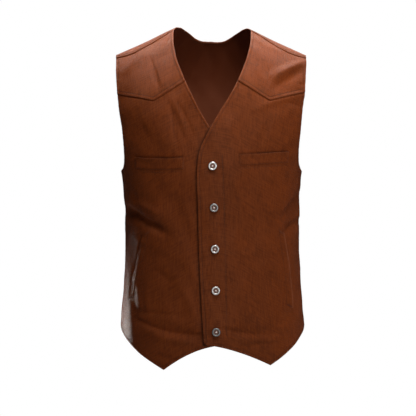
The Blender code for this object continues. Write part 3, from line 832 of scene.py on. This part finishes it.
def pucker(kind, distance, along):
    """Uneven small waves along a seam: a sine whose phase sways, in a band beside the seam."""
    wave, sway, sway_wave, middle, width, height = PUCKERS[kind]
    return np.sin(along / wave + sway * np.sin(along / sway_wave)) * band(distance - middle, height, width)


def edge_relief(distance, along):
    """A turned edge: a low roll, a groove where it is stitched, puckers that fade inwards."""
    roll = band(distance - EDGE_MIDDLE, *EDGE_ROLL) - band(distance - EDGE_STITCH, *EDGE_GROOVE)
    return roll + pucker("edge", distance, along)


def over_seam(distance, along):
    """The upper piece of a lapped seam: raised at its edge, with grooves under its two rows."""
    grooves = sum(band(distance - row, *SEAM_GROOVE) for row in SEAM_STITCHES)
    return SEAM_STEP * (1 - ease(distance / OVER_RUN)) - grooves + pucker("lapped", distance, along)


def under_seam(distance, along):
    """The lower piece of a lapped seam: it dips under the upper one."""
    return pucker("under", distance, along) - SEAM_STEP * (1 - ease(distance / UNDER_RUN))


def plain_seam(distance, along):
    """One side of a plain seam: a groove at the sewing line beside a low pressed ridge."""
    pressed = band(distance - SIDE_STITCH, *SIDE_RIDGE) - band(distance, *SIDE_GROOVE)
    return pressed + pucker("plain", distance, along)


def seam_relief(panel, places, runs):
    """(relief, rubbed paleness that is partly a painted highlight, painted shade, distance from the nearest
    boundary) over a panel's grid.
    """
    points = surface(places)
    relief, wear_and_highlight, shade = (np.zeros(points.shape[:2]) for _ in range(3))
    nearest = np.full(points.shape[:2], 1e3)
    for name, run in runs.items():
        distance, along = reach(points, run)
        nearest = np.minimum(nearest, distance)
        if name in FINISHED:
            relief += edge_relief(distance, along)
            # rubbed pale at the turned edge, partly a painted highlight, and painted shade in the stitch
            # groove
            wear_and_highlight = np.maximum(wear_and_highlight, band(distance, *EDGE_WEAR_AND_HIGHLIGHT))
            shade = np.maximum(shade, band(distance - EDGE_STITCH, *EDGE_SHADE))
        elif name in PLAIN_SEAMS:
            under = 0.0 if panel == "back" else band(distance, *SIDE_UNDERLAP)
            relief += plain_seam(distance, along) - under
            # painted shade in the seam's groove
            shade = np.maximum(shade, band(distance, *SIDE_SHADE))
        elif (name == "yoke") == panel.startswith("yoke"):
            relief += over_seam(distance, along)
            # the upper piece rubbed pale at its edge, and painted shade in the grooves of its two rows
            wear_and_highlight = np.maximum(wear_and_highlight, band(distance, *SEAM_WEAR))
            rows = [band(distance - row, *SEAM_SHADE) for row in SEAM_STITCHES]
            shade = np.maximum(shade, np.maximum(*rows))
        else:
            relief += under_seam(distance, along)
            # painted shade where the lower piece dips under the upper one's edge
            shade = np.maximum(shade, band(distance, *UNDER_SHADE))
    return relief, wear_and_highlight, shade, nearest


print("edge roll", edge_relief(np.array([0.0, EDGE_MIDDLE, EDGE_STITCH]), np.zeros(3)).round(2), "mm")

# %% [markdown]
# ## Pocket mouths
# Each front has a welt pocket on the chest and a slanting hand pocket at the waist. The cloth of the front
# sinks into the mouth beside each welt, and painted shade darkens that dip into the dark line that is what
# shows of a pocket from a few steps away. A painted shadow darkens the right front beside the left front's
# lapped edge. A row of stitches, sunk and darkened by painted shade, draws a finer line under each chest
# welt and beside the buttons.

# %% Pocket lines
# side: inner x and top, outer x and top, depth of the chest welt
CHEST_WELTS = {RIGHT: (57, -245, 157, -244, 24), LEFT: (53, -240, 153, -232, 23)}
# side: top x and height, foot x and height of the hand welt's middle line
HAND_WELTS = {RIGHT: (133, -396, 168, -530), LEFT: (139, -393, 157, -546)}
HAND_HALF_WIDTH = 10
HAND_BOW = {RIGHT: 2.0, LEFT: 5.0}
# how deep and wide a hand pocket's mouth sinks and is darkened by painted shade: the right one gapes, the
# left one is shut
HAND_GAPES = {RIGHT: (1.6, 2.6), LEFT: (0.1, 1.5)}
MOUTH_DEPTH, MOUTH_WIDTH, MOUTH_RISE = 1.3, 1.5, 1.2
MOUTH_SAMPLES = 90
PLACKET_OFFSET, PLACKET_TOP, PLACKET_FOOT = 20.5, -240, -600
PLACKET_DEPTH, PLACKET_WIDTH = 0.4, 1.2
CHEST_SAG = {RIGHT: 2.4, LEFT: 0.4}
WELT_ENDS = (0.02, 0.98)
FOOT_ROW, FOOT_ROW_DEPTH, FOOT_ROW_WIDTH = 3.4, 0.3, 0.9
LAP_SHADE_WIDTH = 2.6


def chest_line(side, drop, shares):
    """A line along a chest welt, drop millimetres below its top edge."""
    inner_x, inner_top, outer_x, outer_top, _ = CHEST_WELTS[side]
    height = inner_top + (outer_top - inner_top) * shares - CHEST_SAG[side] * np.sin(math.pi * shares)
    return place(side * (inner_x + (outer_x - inner_x) * shares), height - drop)


def hand_line(side, out, shares):
    """A line along a hand welt, out millimetres to the side of its slanting, bowed middle."""
    top_x, top_height, foot_x, foot_height = HAND_WELTS[side]
    ends = place(side * np.array([top_x, foot_x]), np.array([top_height, foot_height]))
    middle = ends[0] + (ends[1] - ends[0]) * np.asarray(shares)[..., None]
    around, _ = slopes_of(surface, middle)
    bowed = np.asarray(out) + HAND_BOW[side] * np.sin(math.pi * np.asarray(shares))
    turn = side * bowed / np.linalg.norm(around, axis=-1)
    return middle + np.stack([turn, 0 * turn], axis=-1)


def placket_line():
    """The line that holds the left front's facing, beside the buttons."""
    height = np.linspace(PLACKET_TOP, PLACKET_FOOT, SAMPLES)
    return place(closure_x(height) + PLACKET_OFFSET, height)


def mouth_relief(places, side):
    """The front's dip along its pocket mouths, the welt's foot row and the placket, with painted shade
    there and a painted shadow beside the lap's edge: (relief, shade).
    """
    points = surface(places)
    shares = np.linspace(*WELT_ENDS, MOUTH_SAMPLES)

    def beside(line, width):
        return bell(reach(points, line)[0], width)

    # each pocket mouth and the foot row below the chest welt are sunk and darkened by painted shade
    gape, width = HAND_GAPES[side]
    hand_mouth = gape * beside(hand_line(side, HAND_HALF_WIDTH + width / 2, shares), width)
    dip = beside(chest_line(side, -MOUTH_RISE, shares), MOUTH_WIDTH) + hand_mouth
    foot = beside(chest_line(side, CHEST_WELTS[side][4] + FOOT_ROW, shares), FOOT_ROW_WIDTH)
    relief, shade = -MOUTH_DEPTH * dip - FOOT_ROW_DEPTH * foot, np.clip(dip, 0, 1) + 0.5 * foot
    if side == LEFT:
        # the placket row's groove, sunk and darkened by painted shade
        groove = beside(placket_line(), PLACKET_WIDTH)
        relief, shade = relief - PLACKET_DEPTH * groove, shade + 0.7 * groove
    else:
        # painted shadow that the left front's lapped edge would cast on the right front
        lap_edge = front_edge(LEFT, EDGE_FOOT_HEIGHT, LAP_TOP_HEIGHT - LAP_TOP_RUN)
        shade = shade + 1.2 * beside(lap_edge, LAP_SHADE_WIDTH)
    return relief, shade


print("hand pockets, top and foot:", HAND_WELTS)

# %% [markdown]
# ## Canvas
# Washed cotton canvas is matt and slightly fuzzy, with a plain weave, thick and thin yarns that show as
# short streaks both ways, and cloudy dye. It is rubbed pale on turned edges and welt mouths, partly as a
# painted highlight, and painted shade darkens its grooves, seams, pocket mouths and the cloth beside the
# lap. The weave follows the cloth, so it reads a UV map in metres. Clouds read Object coordinates. Three
# marks on the mesh say where the pale rub with its painted highlight, the painted shade and the wrong side
# are.

# %% Canvas finish
DYE, DYE_DEEP = (0.335, 0.0605, 0.0075, 1), (0.205, 0.0345, 0.0035, 1)
HAZE = (1, 0.86, 0.60, 1)
# the pale of rubbed edges, partly a painted highlight, and the wrong side's own colour
RUBBED_AND_HIGHLIGHT, WRONG_SIDE = (0.46, 0.135, 0.060, 1), (0.190, 0.036, 0.0100, 1)
# the colour of painted shade
IN_SHADE = (0.035, 0.005, 0.001, 1)
THREADS_PER_METRE = 1650
FINE_STREAKS, COARSE_STREAKS = 1100, 380
STREAK_STRETCH = 0.07


def canvas_finish(name, deepen=0.0):
    fuzz = {"Sheen Weight": 0.03, "Sheen Roughness": 0.5, "Sheen Tint": (1, 0.88, 0.80, 1)}
    shine = {"Specular IOR Level": 0.31, "Specular Tint": HAZE}
    material, nodes, shader = new_finish(name, fuzz | shine)
    cloth_map = nodes.add("ShaderNodeUVMap", {"uv_map": "cloth"}, {})
    split = nodes.add("ShaderNodeSeparateXYZ", {}, {0: cloth_map})
    across, down = split, Value(nodes, split.socket.node.outputs["Y"])
    body = nodes.place()
    wear_and_highlight, shade, inside = (nodes.mark(name) for name in ("wear_and_highlight", "shade", "inside"))

    def streaks(scale):
        """Noise drawn out along the warp plus noise drawn out along the weft."""
        ways = ((1, STREAK_STRETCH, 1), (STREAK_STRETCH, 1, 1))
        settings = {"operation": "MULTIPLY"}
        drawn = [nodes.add("ShaderNodeVectorMath", settings, {0: cloth_map, 1: way}) for way in ways]
        return nodes.noise(drawn[0], scale, 1.0) + nodes.noise(drawn[1], scale, 1.0)

    warp = (across * (math.tau * THREADS_PER_METRE)).sine()
    weft = (down * (math.tau * THREADS_PER_METRE)).sine()
    weave = warp * weft
    slub, thick_yarn = streaks(FINE_STREAKS), streaks(COARSE_STREAKS)
    cloud = nodes.noise(body, 26, 3.0) + nodes.noise(body, 7, 2.0)

    depth = (cloud - 1.0) * 0.9 + (slub - 1.0) * 2.0 + (thick_yarn - 1.0) * 1.5
    depth = (depth + 0.45 + deepen).held()
    tone = nodes.blend(depth, DYE, DYE_DEEP)
    tone = nodes.blend(inside, tone, WRONG_SIDE)
    # rubbed pale edges and welt mouths, partly a painted highlight
    rub_and_highlight = (wear_and_highlight * (nodes.noise(body, 190, 2.0) * 1.5 - 0.3)).held()
    tone = nodes.blend(rub_and_highlight * 0.75, tone, RUBBED_AND_HIGHLIGHT)
    # painted shade in grooves, seams, pocket mouths and beside the lap
    tone = nodes.blend((shade * 0.75).held(), tone, IN_SHADE)
    roughness = (slub * 0.08 + 0.42 - rub_and_highlight * 0.06).held()
    height = weave * 0.35 + slub * 0.6 + thick_yarn * 0.9 + nodes.noise(body, 420, 2.0) * 0.6
    bump = nodes.bump(height, 0.6, 0.0006)
    nodes.drive(shader, {"Base Color": tone, "Roughness": roughness, "Normal": bump})
    return material


canvas = canvas_finish("canvas_washed")
welt_canvas = canvas_finish("canvas_welt", deepen=0.05)
print("weave of", THREADS_PER_METRE / 100, "threads to a centimetre")

# %% [markdown]
# ## Panels as thin shells
# A panel is two copies of its grid, the outside and the wrong side, joined round the rim. Both
# curve together over the last millimetre, so that a cut edge reads as a fold of cloth and not as
# a sawn board.

# %% Shells
LEAST_WALL = 0.25


def walls(places, relief, nearest, wall, lapped):
    """Outer and inner points: a wall that thins along a quarter circle towards its boundary."""
    near = np.clip(1 - nearest / (wall / 2), 0, 1)
    thick = LEAST_WALL + (wall - LEAST_WALL) * np.sqrt(1 - near**2)
    middle = relief - wall / 2
    return cloth(places, middle + thick / 2, lapped), cloth(places, middle - thick / 2, lapped)


def rim_of(columns, rows):
    """Numbers of a grid's boundary points, in order round it."""
    number = np.arange(columns * rows).reshape(columns, rows)
    return np.concatenate([number[:-1, 0], number[-1, :-1], number[:0:-1, -1], number[0, :0:-1]])


def add_shell(name, outer, inner, places, marks, material):
    """A closed shell from two grids, with its UV map in metres and its marks."""
    columns, rows = outer.shape[:2]
    count = columns * rows
    sheet_faces = grid_faces(columns, rows)
    rim = rim_of(columns, rows)
    ahead = np.roll(rim, -1)
    around = np.stack([rim, rim + count, ahead + count, ahead], axis=-1)
    faces = np.concatenate([sheet_faces, sheet_faces[:, ::-1] + count, around])
    facing = np.cross(outer[1, 0] - outer[0, 0], outer[0, 1] - outer[0, 0]) @ (outer[0, 0] - inner[0, 0])
    if facing < 0:
        faces = faces[:, ::-1]
    obj = add_mesh(name, np.concatenate([outer.reshape(-1, 3), inner.reshape(-1, 3)]) * MM, faces, material)
    flat = np.tile((places * [ANGLE_SCALE * MM, MM]).reshape(-1, 2), (2, 1))
    obj.data.uv_layers.new(name="cloth").data.foreach_set("uv", flat[faces.ravel()].ravel())
    marks = {mark: np.tile(values.ravel(), 2) for mark, values in marks.items()}
    marks["inside"] = np.repeat([0.0, 1.0], count)
    for mark, values in marks.items():
        obj.data.attributes.new(mark, "FLOAT", "POINT").data.foreach_set("value", values)
    return obj


def dress(piece, node, slot):
    """The piece rides with the vest and stands for its solid, which it hides. slot is not used."""
    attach(piece, "root")
    if node:
        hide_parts(node)
    return piece


def flat_cut(outer):
    """A piece's cut in metres: its longest way across and along its grid, and the grid's area."""
    width, length = (strides(outer, axis).sum(axis=axis).max() for axis in (0, 1))
    corner = np.cross(outer[1:, 1:] - outer[:-1, :-1], outer[:-1, 1:] - outer[1:, :-1])
    return width * MM, length * MM, np.linalg.norm(corner, axis=-1).sum() / 2 * MM**2


panels, cuts = {}, {}
for name, (places, runs) in grids.items():
    relief, wear_and_highlight, shade, nearest = seam_relief(name, places, runs)
    lapped = name.endswith("left")
    if name.startswith("front"):
        dip, mouth = mouth_relief(places, LEFT if lapped else RIGHT)
        relief, shade = relief + dip, np.maximum(shade, mouth)
    outer, inner = walls(places, relief, nearest, CANVAS_WALL, lapped)
    piece = add_shell(f"{name}_canvas", outer, inner, places, {"wear_and_highlight": wear_and_highlight, "shade": shade}, canvas)
    panels[name] = dress(piece, name, "canvas")
    cuts[name] = flat_cut(outer)
    print(name, "cut to", np.round(cuts[name], 4))

# %% [markdown]
# ## Welts
# A welt is a folded strip that guards a pocket's mouth. Three of its sides are sewn down flush
# with the front, and the fourth, at the mouth, stands a little off it, so it casts the fine shadow
# that draws the pocket. The strip follows the front's own folds and swells between its seams.

# %% Welts
WELT_SEAT, WELT_FLUSH, WELT_RISE, WELT_SPRING = 0.05, 0.15, 0.7, 0.9
WELT_SLOPE, WELT_ROW = 5, 2.0
CHEST_COLUMNS, HAND_COLUMNS = 92, 130
# how pale each hand welt's mouth is: the left one's pale line is partly a painted highlight, where its edge
# would catch the side light
HAND_RUBS_AND_HIGHLIGHTS = {RIGHT: 0.0, LEFT: 2.4}
# where along a hand welt its bar tacks lie, their half length, width as a share, and the painted shade
# round them
TACK_SHARES, TACK_HALF, TACK_WIDTH, TACK_SHADE = (0.012, 0.988), 6.5, 0.016, 0.9


def welt_grid(line, half_drops, columns):
    """A strip's places: lines at each drop, sampled along their length."""
    shares = np.linspace(0, 1, columns + 1)
    return np.stack([line(drop, shares) for drop in half_drops], axis=1)


def add_welt(node, places, open_edge, lapped, rub_and_highlight, dark=0.0):
    """A sewn strip. open_edge is 1 along the mouth and 0 along the opposite edge, over its grid.

    rub says how pale the mouth is, partly worn and partly a painted highlight, and dark is more painted
    shade over the grid.
    """
    points = surface(places)
    rim = rim_of(*places.shape[:2])
    ring = points.reshape(-1, 3)[rim]
    nearest = np.stack([np.linalg.norm(row[:, None] - ring[None], axis=-1).min(axis=1) for row in points])
    sewn = bell(nearest - WELT_ROW, 1.0) * (1 - ease(open_edge * 2 - 0.8))
    free = np.maximum(ease(nearest / WELT_SLOPE), ease(2 * open_edge - 1))
    lift = WELT_FLUSH + WELT_RISE * free + WELT_SPRING * open_edge**3 - 0.15 * sewn
    outer = cloth(places, lift, lapped)
    inner = cloth(places, WELT_SEAT + 0 * lift, lapped)
    # the mouth rubbed pale, partly a painted highlight, and painted shade along the sewn rows and at the
    # bar tacks
    marks = {"wear_and_highlight": rub_and_highlight * open_edge * bell(nearest, 2.2), "shade": np.maximum(0.25 * sewn, dark)}
    piece = add_shell(f"{node}_canvas", outer, inner, places, marks, welt_canvas)
    panels[node], cuts[node] = dress(piece, node, "welt_canvas"), flat_cut(outer)
    print(node, "cut to", np.round(cuts[node], 4))


for side, name in SIDES.items():
    depth = CHEST_WELTS[side][4]
    drops = depth * (1 - fine_ends(24))
    chest = welt_grid(lambda drop, shares: chest_line(side, drop, shares), drops, CHEST_COLUMNS)
    top = np.broadcast_to(1 - drops / depth, chest.shape[:2])
    add_welt(f"chest_welt_{name}", chest, top, side == LEFT, 0.6)
    outs = HAND_HALF_WIDTH * (2 * fine_ends(22) - 1)
    hand = welt_grid(lambda out, shares: hand_line(side, out, shares), outs, HAND_COLUMNS)
    mouth = np.broadcast_to((outs / HAND_HALF_WIDTH + 1) / 2, hand.shape[:2])
    shares = np.linspace(0, 1, hand.shape[0])[:, None]
    tacks = sum(TACK_SHADE * bell(shares - end, TACK_WIDTH) for end in TACK_SHARES)
    inner = bell(outs[None] / TACK_HALF, 1.0)
    add_welt(f"hand_welt_{name}", hand, mouth, side == LEFT, HAND_RUBS_AND_HIGHLIGHTS[side], tacks * inner)

# %% [markdown]
# ## Thread
# Top stitching holds every edge and seam. Each stitch is a short bent rod whose ends dive into
# the cloth. There are thousands, so each has a few dozen faces, and a panel's stitches are one
# mesh made from arrays: a template, set down along a line by three directions at each place.

# %% Stitches
STITCH_PITCH, STITCH_LENGTH, STITCH_RADIUS = 3.1, 2.5, 0.3
STITCH_SIDES = 6
STITCH_STATIONS = np.array([-1, -0.75, 0, 0.75, 1])


def stitch_template(length, radius):
    """A bent rod as (points, faces): along its run, aside and up. Hexagon ends close it."""
    turn = np.linspace(0, math.tau, STITCH_SIDES, endpoint=False)[:, None]
    station = STITCH_STATIONS[None, :]
    girth = radius * np.sqrt(1.15 - station**2)
    bow = 1.3 * radius * (0.35 - station**2)
    along = length / 2 * station + 0 * turn
    points = np.stack([along, girth * np.cos(turn), girth * np.sin(turn) + bow], axis=-1)
    rows = len(STITCH_STATIONS)
    faces = grid_faces(STITCH_SIDES, rows, True)
    first = np.arange(STITCH_SIDES) * rows
    ends = [first[[0, 1, 2, 3]], first[[0, 3, 4, 5]]]
    ends += [first[[3, 2, 1, 0]] + rows - 1, first[[5, 4, 3, 0]] + rows - 1]
    return points.reshape(-1, 3), np.concatenate([faces, np.stack(ends)])[:, ::-1]


def along_line(run, pitch, lift, lapped):
    """Seats along a run at even pitch: (points, directions, normals)."""
    line = cloth(run, lift, lapped)
    way = running(strides(line))
    at = np.arange(pitch / 2, way[-1], pitch)
    ahead = between(at, way, np.gradient(line, way, axis=0))
    return between(at, way, line), unit(ahead), normal_of(surface, between(at, way, run))


def set_down(seats, length=STITCH_LENGTH, radius=STITCH_RADIUS, crosswise=False):
    """Copies of the stitch at each seat, along the line or across it: (points, faces)."""
    points, ahead, up = seats
    aside = unit(np.cross(up, ahead))
    if crosswise:
        ahead, aside = aside, -ahead
    template, faces = stitch_template(length, radius)
    frames = np.stack([ahead, aside, np.cross(ahead, aside)], axis=1)
    copies = points[:, None] + template @ frames
    numbers = faces[None] + len(template) * np.arange(len(points))[:, None, None]
    return copies.reshape(-1, 3), numbers.reshape(-1, 4)


def merge(parts):
    """Several (points, faces) as one."""
    starts = np.cumsum([0] + [len(points) for points, faces in parts[:-1]])
    faces = [faces + start for (points, faces), start in zip(parts, starts)]
    return np.concatenate([points for points, faces in parts]), np.concatenate(faces)


STITCH_FACES = len(stitch_template(STITCH_LENGTH, STITCH_RADIUS)[1])
print("one stitch has", STITCH_FACES, "faces")

# %% [markdown]
# The thread is a polyester in the cloth's own colour, a little smoother than the canvas, so a row
# catches a thin line of light. Its twist is far too fine to model and goes into the bump.

# %% Thread finish
THREAD, THREAD_DEEP = (0.27, 0.072, 0.027, 1), (0.17, 0.034, 0.010, 1)

thread_shine = {"Sheen Weight": 0.04, "Specular IOR Level": 0.3, "Specular Tint": HAZE}
thread, thread_nodes, thread_shader = new_finish("thread", thread_shine)
thread_place = thread_nodes.place()
thread_cloud = (thread_nodes.noise(thread_place, 60) * 1.6 - 0.3).held()
thread_twist = thread_nodes.bump(thread_nodes.noise(thread_place, 2600), 0.3, 0.0001)
thread_tone = thread_nodes.blend(thread_cloud, THREAD, THREAD_DEEP)
thread_roughness = thread_cloud * 0.15 + 0.5
thread_sockets = {"Base Color": thread_tone, "Roughness": thread_roughness, "Normal": thread_twist}
thread_nodes.drive(thread_shader, thread_sockets)
print("thread finish ready")

# %% [markdown]
# A row of stitches lies in the groove that the relief made for it. Finished edges have one row,
# lapped seams have two, and the left front has one more beside the buttons. Each run is trimmed a
# little at its ends.

# %% Rows of stitches
ROW_LIFT, SIDE_ROW_LIFT = -0.2, 0.3
SEAM_ROW_LIFTS = (0.85, 0.25)
END_TRIM = 5


def trimmed(run, start, end):
    """A run without its first and last millimetres."""
    along = lengths(run)
    return resample(run, np.linspace(start / along[-1], 1 - end / along[-1], SAMPLES))


def row(run, distance, lapped=False, lift=ROW_LIFT, start=1, end=1):
    """A row of stitches at a distance to the left of a run, or to its right if that is negative."""
    return set_down(along_line(trimmed(inset(run, distance), start, end), STITCH_PITCH, lift, lapped))


stitching = {}
for side, name in SIDES.items():
    lapped = side == LEFT
    runs, yoke_runs = grids[f"front_{name}"][1], grids[f"yoke_{name}"][1]
    stitching[f"front_{name}"] = [
        row(runs["edge"], -side * EDGE_STITCH, lapped, start=0),
        row(runs["hem"], side * EDGE_STITCH, lapped, start=END_TRIM),
        row(runs["arm"], side * EDGE_STITCH, lapped),
    ]
    stitching[f"yoke_{name}"] = [
        row(yoke_runs["edge"], -side * EDGE_STITCH, lapped),
        row(yoke_runs["arm"], side * EDGE_STITCH, lapped),
    ]
    for distance, lift in zip(SEAM_STITCHES, SEAM_ROW_LIFTS):
        stitching[f"yoke_{name}"].append(row(yoke_runs["yoke"], side * distance, lapped, lift))
placket = set_down(along_line(placket_line(), STITCH_PITCH, ROW_LIFT, True))
stitching["front_left"].append(placket)

runs = grids["back"][1]
stitching["back"] = [row(runs["hem"], -EDGE_STITCH), row(runs["edge"], EDGE_STITCH)]
for side, name in SIDES.items():
    stitching["back"].append(row(runs[f"arm_{name}"], -side * EDGE_STITCH))
    stitching["back"].append(row(runs[f"side_{name}"], -side * SIDE_STITCH, lift=SIDE_ROW_LIFT))
    for distance, lift in zip(SEAM_STITCHES, SEAM_ROW_LIFTS):
        stitching["back"].append(row(runs[f"shoulder_{name}"], distance, lift=lift))
print({name: sum(len(faces) for points, faces in rows) for name, rows in stitching.items()})

# %% [markdown]
# A chest welt is sewn with one row on its foot, one on the front below it and one at each end. A
# bar tack, a dense block of stitches set crosswise, locks each end of a hand pocket, where a hand
# would tear it.

# %% Stitches on the welts, and bar tacks
WELT_ROW_LIFT, END_ROW_INSET = WELT_FLUSH + 0.15, 1.5
TACK_PITCH, TACK_LENGTH, TACK_RADIUS = 0.62, 2.6, 0.34


def welt_row(run, lapped, pitch=STITCH_PITCH):
    return along_line(run, pitch, WELT_ROW_LIFT, lapped)


for side, name in SIDES.items():
    lapped, depth = side == LEFT, CHEST_WELTS[side][4]
    along = np.linspace(*WELT_ENDS, SAMPLES)
    rows = [set_down(welt_row(chest_line(side, depth - WELT_ROW, along), lapped))]
    below = chest_line(side, depth + FOOT_ROW, along)
    rows.append(set_down(along_line(below, STITCH_PITCH, ROW_LIFT, lapped)))
    fall = np.linspace(END_ROW_INSET, depth - END_ROW_INSET, SAMPLES)
    rows += [set_down(welt_row(chest_line(side, fall, end + 0 * fall), lapped)) for end in WELT_ENDS]
    stitching[f"chest_welt_{name}"] = rows
    rows = [set_down(welt_row(hand_line(side, WELT_ROW - HAND_HALF_WIDTH + 0 * along, along), lapped))]
    out = np.linspace(-TACK_HALF, TACK_HALF, SAMPLES)
    for end in TACK_SHARES:
        seats = welt_row(hand_line(side, out, end + 0 * out), lapped, TACK_PITCH)
        rows.append(set_down(seats, TACK_LENGTH, TACK_RADIUS, crosswise=True))
    stitching[f"hand_welt_{name}"] = rows

threads = {}
for name, rows in stitching.items():
    points, faces = merge(rows)
    threads[name] = add_mesh(f"{name}_stitching", points * MM, faces, thread)
    dress(threads[name], None, "welt_canvas" if "welt" in name else "canvas")
print("stitches:", sum(len(o.data.polygons) for o in threads.values()) // STITCH_FACES)

# %% [markdown]
# ## Cloth as cut
# Every piece of canvas was flat before it was sewn. Its cut is read back from its own grid: the longest way
# across, the longest way along, and the area. A table lists what each piece is sewn to: the fronts to their
# yokes, the yokes to the back, and the welts to the fronts.

# %% Sheets
SEWN_TO = {"back": (), "yoke": ("back",), "front": ("yoke_{side}",), "chest": ("front_{side}",)}
SEWN_TO["hand"] = SEWN_TO["chest"]

for node, piece in panels.items():
    "laid" if "welt" in node else "hung"
print(len(panels), "sheets,", round(sum(cut[2] for cut in cuts.values()), 3), "square metres of canvas")

# %% [markdown]
# ## Buttons
# Five metal buttons close the front. Each is a pressed ring with a sunk middle and the domed head
# of a rivet in it. A turned profile gives the shape: a smooth curve through a few points, carried
# round the button's own axis, which is the cloth's normal where the button sits.

# %% Button shapes
BUTTON_TOP_HEIGHT, BUTTON_PITCH = -262, 83.2
BUTTON_SEAT = 0.25
BUTTON_SIDES = 48
# radius and height, from the middle of the foot over the ring to the middle of the recess
BUTTON_PROFILE = np.array([
    (0.0, 0.0), (6.2, 0.0), (7.5, 0.5), (8.3, 1.3), (8.6, 2.2), (8.4, 2.9), (7.8, 3.5), (7.0, 3.85),
    (6.4, 3.9), (5.8, 3.65), (5.2, 3.1), (4.8, 2.5), (4.3, 2.25), (2.8, 2.2), (0.0, 2.2),
])
STUD_PROFILE = np.array([
    (0.0, 2.3), (2.0, 2.3), (2.15, 2.6), (2.0, 3.0), (1.7, 3.35), (1.2, 3.6), (0.6, 3.75), (0.0, 3.8),
])
PROFILE_STEPS = 4


def smooth_profile(profile):
    """A cubic curve through the profile's points."""
    knots = np.arange(len(profile), dtype=float)
    at = np.linspace(0, knots[-1], PROFILE_STEPS * (len(profile) - 1) + 1)
    return np.stack([curve(knots, profile[:, k], at) for k in range(2)], axis=-1).clip(0)


def add_turned(name, profile, seat, axis, material):
    """A profile carried round an axis through seat. Its two ends on the axis are closed with quads."""
    line = smooth_profile(profile)[1:-1]
    aside = unit(np.cross(axis, [0, 0, 1]))
    upward = np.cross(aside, axis)
    turn = np.linspace(0, math.tau, BUTTON_SIDES, endpoint=False)[:, None, None]
    spokes = np.cos(turn) * aside + np.sin(turn) * upward
    points = seat + spokes * line[None, :, :1] + axis * line[None, :, 1:]
    rows = len(line)
    faces = grid_faces(BUTTON_SIDES, rows, True)
    first = np.arange(BUTTON_SIDES) * rows
    half = BUTTON_SIDES // 2
    pairs = range(half - 1)
    cap = np.array([(first[i], first[i + 1], first[-i - 2], first[-i - 1]) for i in pairs])
    faces = np.concatenate([faces, cap, cap[:, ::-1] + rows - 1])[:, ::-1]
    obj = add_mesh(name, points * MM, faces, material)
    radius = np.tile(line[:, 0], BUTTON_SIDES)
    obj.data.attributes.new("radius", "FLOAT", "POINT").data.foreach_set("value", radius)
    return obj


print("button", 2 * BUTTON_PROFILE[:, 0].max(), "mm across")

# %% [markdown]
# The ring is nickel, polished by use on its crown and dull brown in the recess; that brown is partly patina
# and partly a painted reflection of the cloth around it. The rivet is dull copper, rubbed bright on top,
# and that bright crown is partly a painted highlight. Both read the distance from the button's axis, which
# the mesh keeps as a mark. Each ring's colour is painted brighter or darker on its own, to stand in for the
# reflection that its tilt catches, and each ring has its own roughness.

# %% Button finishes
RECESS_RADIUS, RIVET_EDGE = 5.0, 1.6
# brightness of each ring, painted to stand in for the reflection that its tilt catches, and its roughness,
# from the top button down
RING_TONES = ((0.95, 0.24), (0.42, 0.36), (0.74, 0.28), (0.76, 0.28), (0.26, 0.40))
# the recess brown is partly patina and partly a painted reflection of the cloth; the rivet's crown is
# partly a painted highlight
NICKEL_TINT, NICKEL_DULL = (1.0, 0.98, 0.95), (0.20, 0.115, 0.090, 1)
RIVET_RIM, RIVET_CROWN = (0.42, 0.26, 0.21, 1), (0.95, 0.82, 0.76, 1)


def metal_finish(name, bright, dull, dull_below, roughness):
    material, nodes, shader = new_finish(name, {"Metallic": 1.0})
    body, radius = nodes.place(), nodes.mark("radius")
    spots = nodes.noise(body, 900, 3.0)
    # share of the inner colour towards the axis: the nickel's recess brown, partly a painted reflection,
    # and the rivet's crown, partly a painted highlight
    inner_tone_share = ((dull_below - radius) * 1.4 + (spots - 0.5) * 1.6 + 0.35).held()
    tone, bump = nodes.blend(inner_tone_share, bright, dull), nodes.bump(nodes.noise(body, 2500), 0.25, 0.0001)
    rough = (inner_tone_share * 0.22 + spots * 0.12 + roughness).held()
    nodes.drive(shader, {"Base Color": tone, "Roughness": rough, "Normal": bump})
    return material


copper = metal_finish("copper_dull", RIVET_RIM, RIVET_CROWN, RIVET_EDGE, 0.24)
for number, (brightness, roughness) in enumerate(RING_TONES, 1):
    # painted reflection: this ring's base colour is scaled by its own brightness
    tone = tuple(brightness * part for part in NICKEL_TINT) + (1,)
    nickel = metal_finish(f"nickel_{number}", tone, NICKEL_DULL, RECESS_RADIUS, roughness)
    height = BUTTON_TOP_HEIGHT - BUTTON_PITCH * (number - 1)
    at = place(closure_x(height), height)
    seat = cloth(at, BUTTON_SEAT, True)
    axis = unit(cloth(at, BUTTON_SEAT + 1, True) - seat)
    ring = add_turned(f"button_{number}_ring", BUTTON_PROFILE, seat, axis, nickel)
    dress(ring, f"button_{number}", "nickel")
    rivet = add_turned(f"button_{number}_rivet", STUD_PROFILE, seat, axis, copper)
    dress(rivet, f"button_stud_{number}", "copper")
    metal_pieces.objects.link(ring)
    metal_pieces.objects.link(rivet)
print(len(RING_TONES), "buttons,", BUTTON_PITCH, "mm apart")
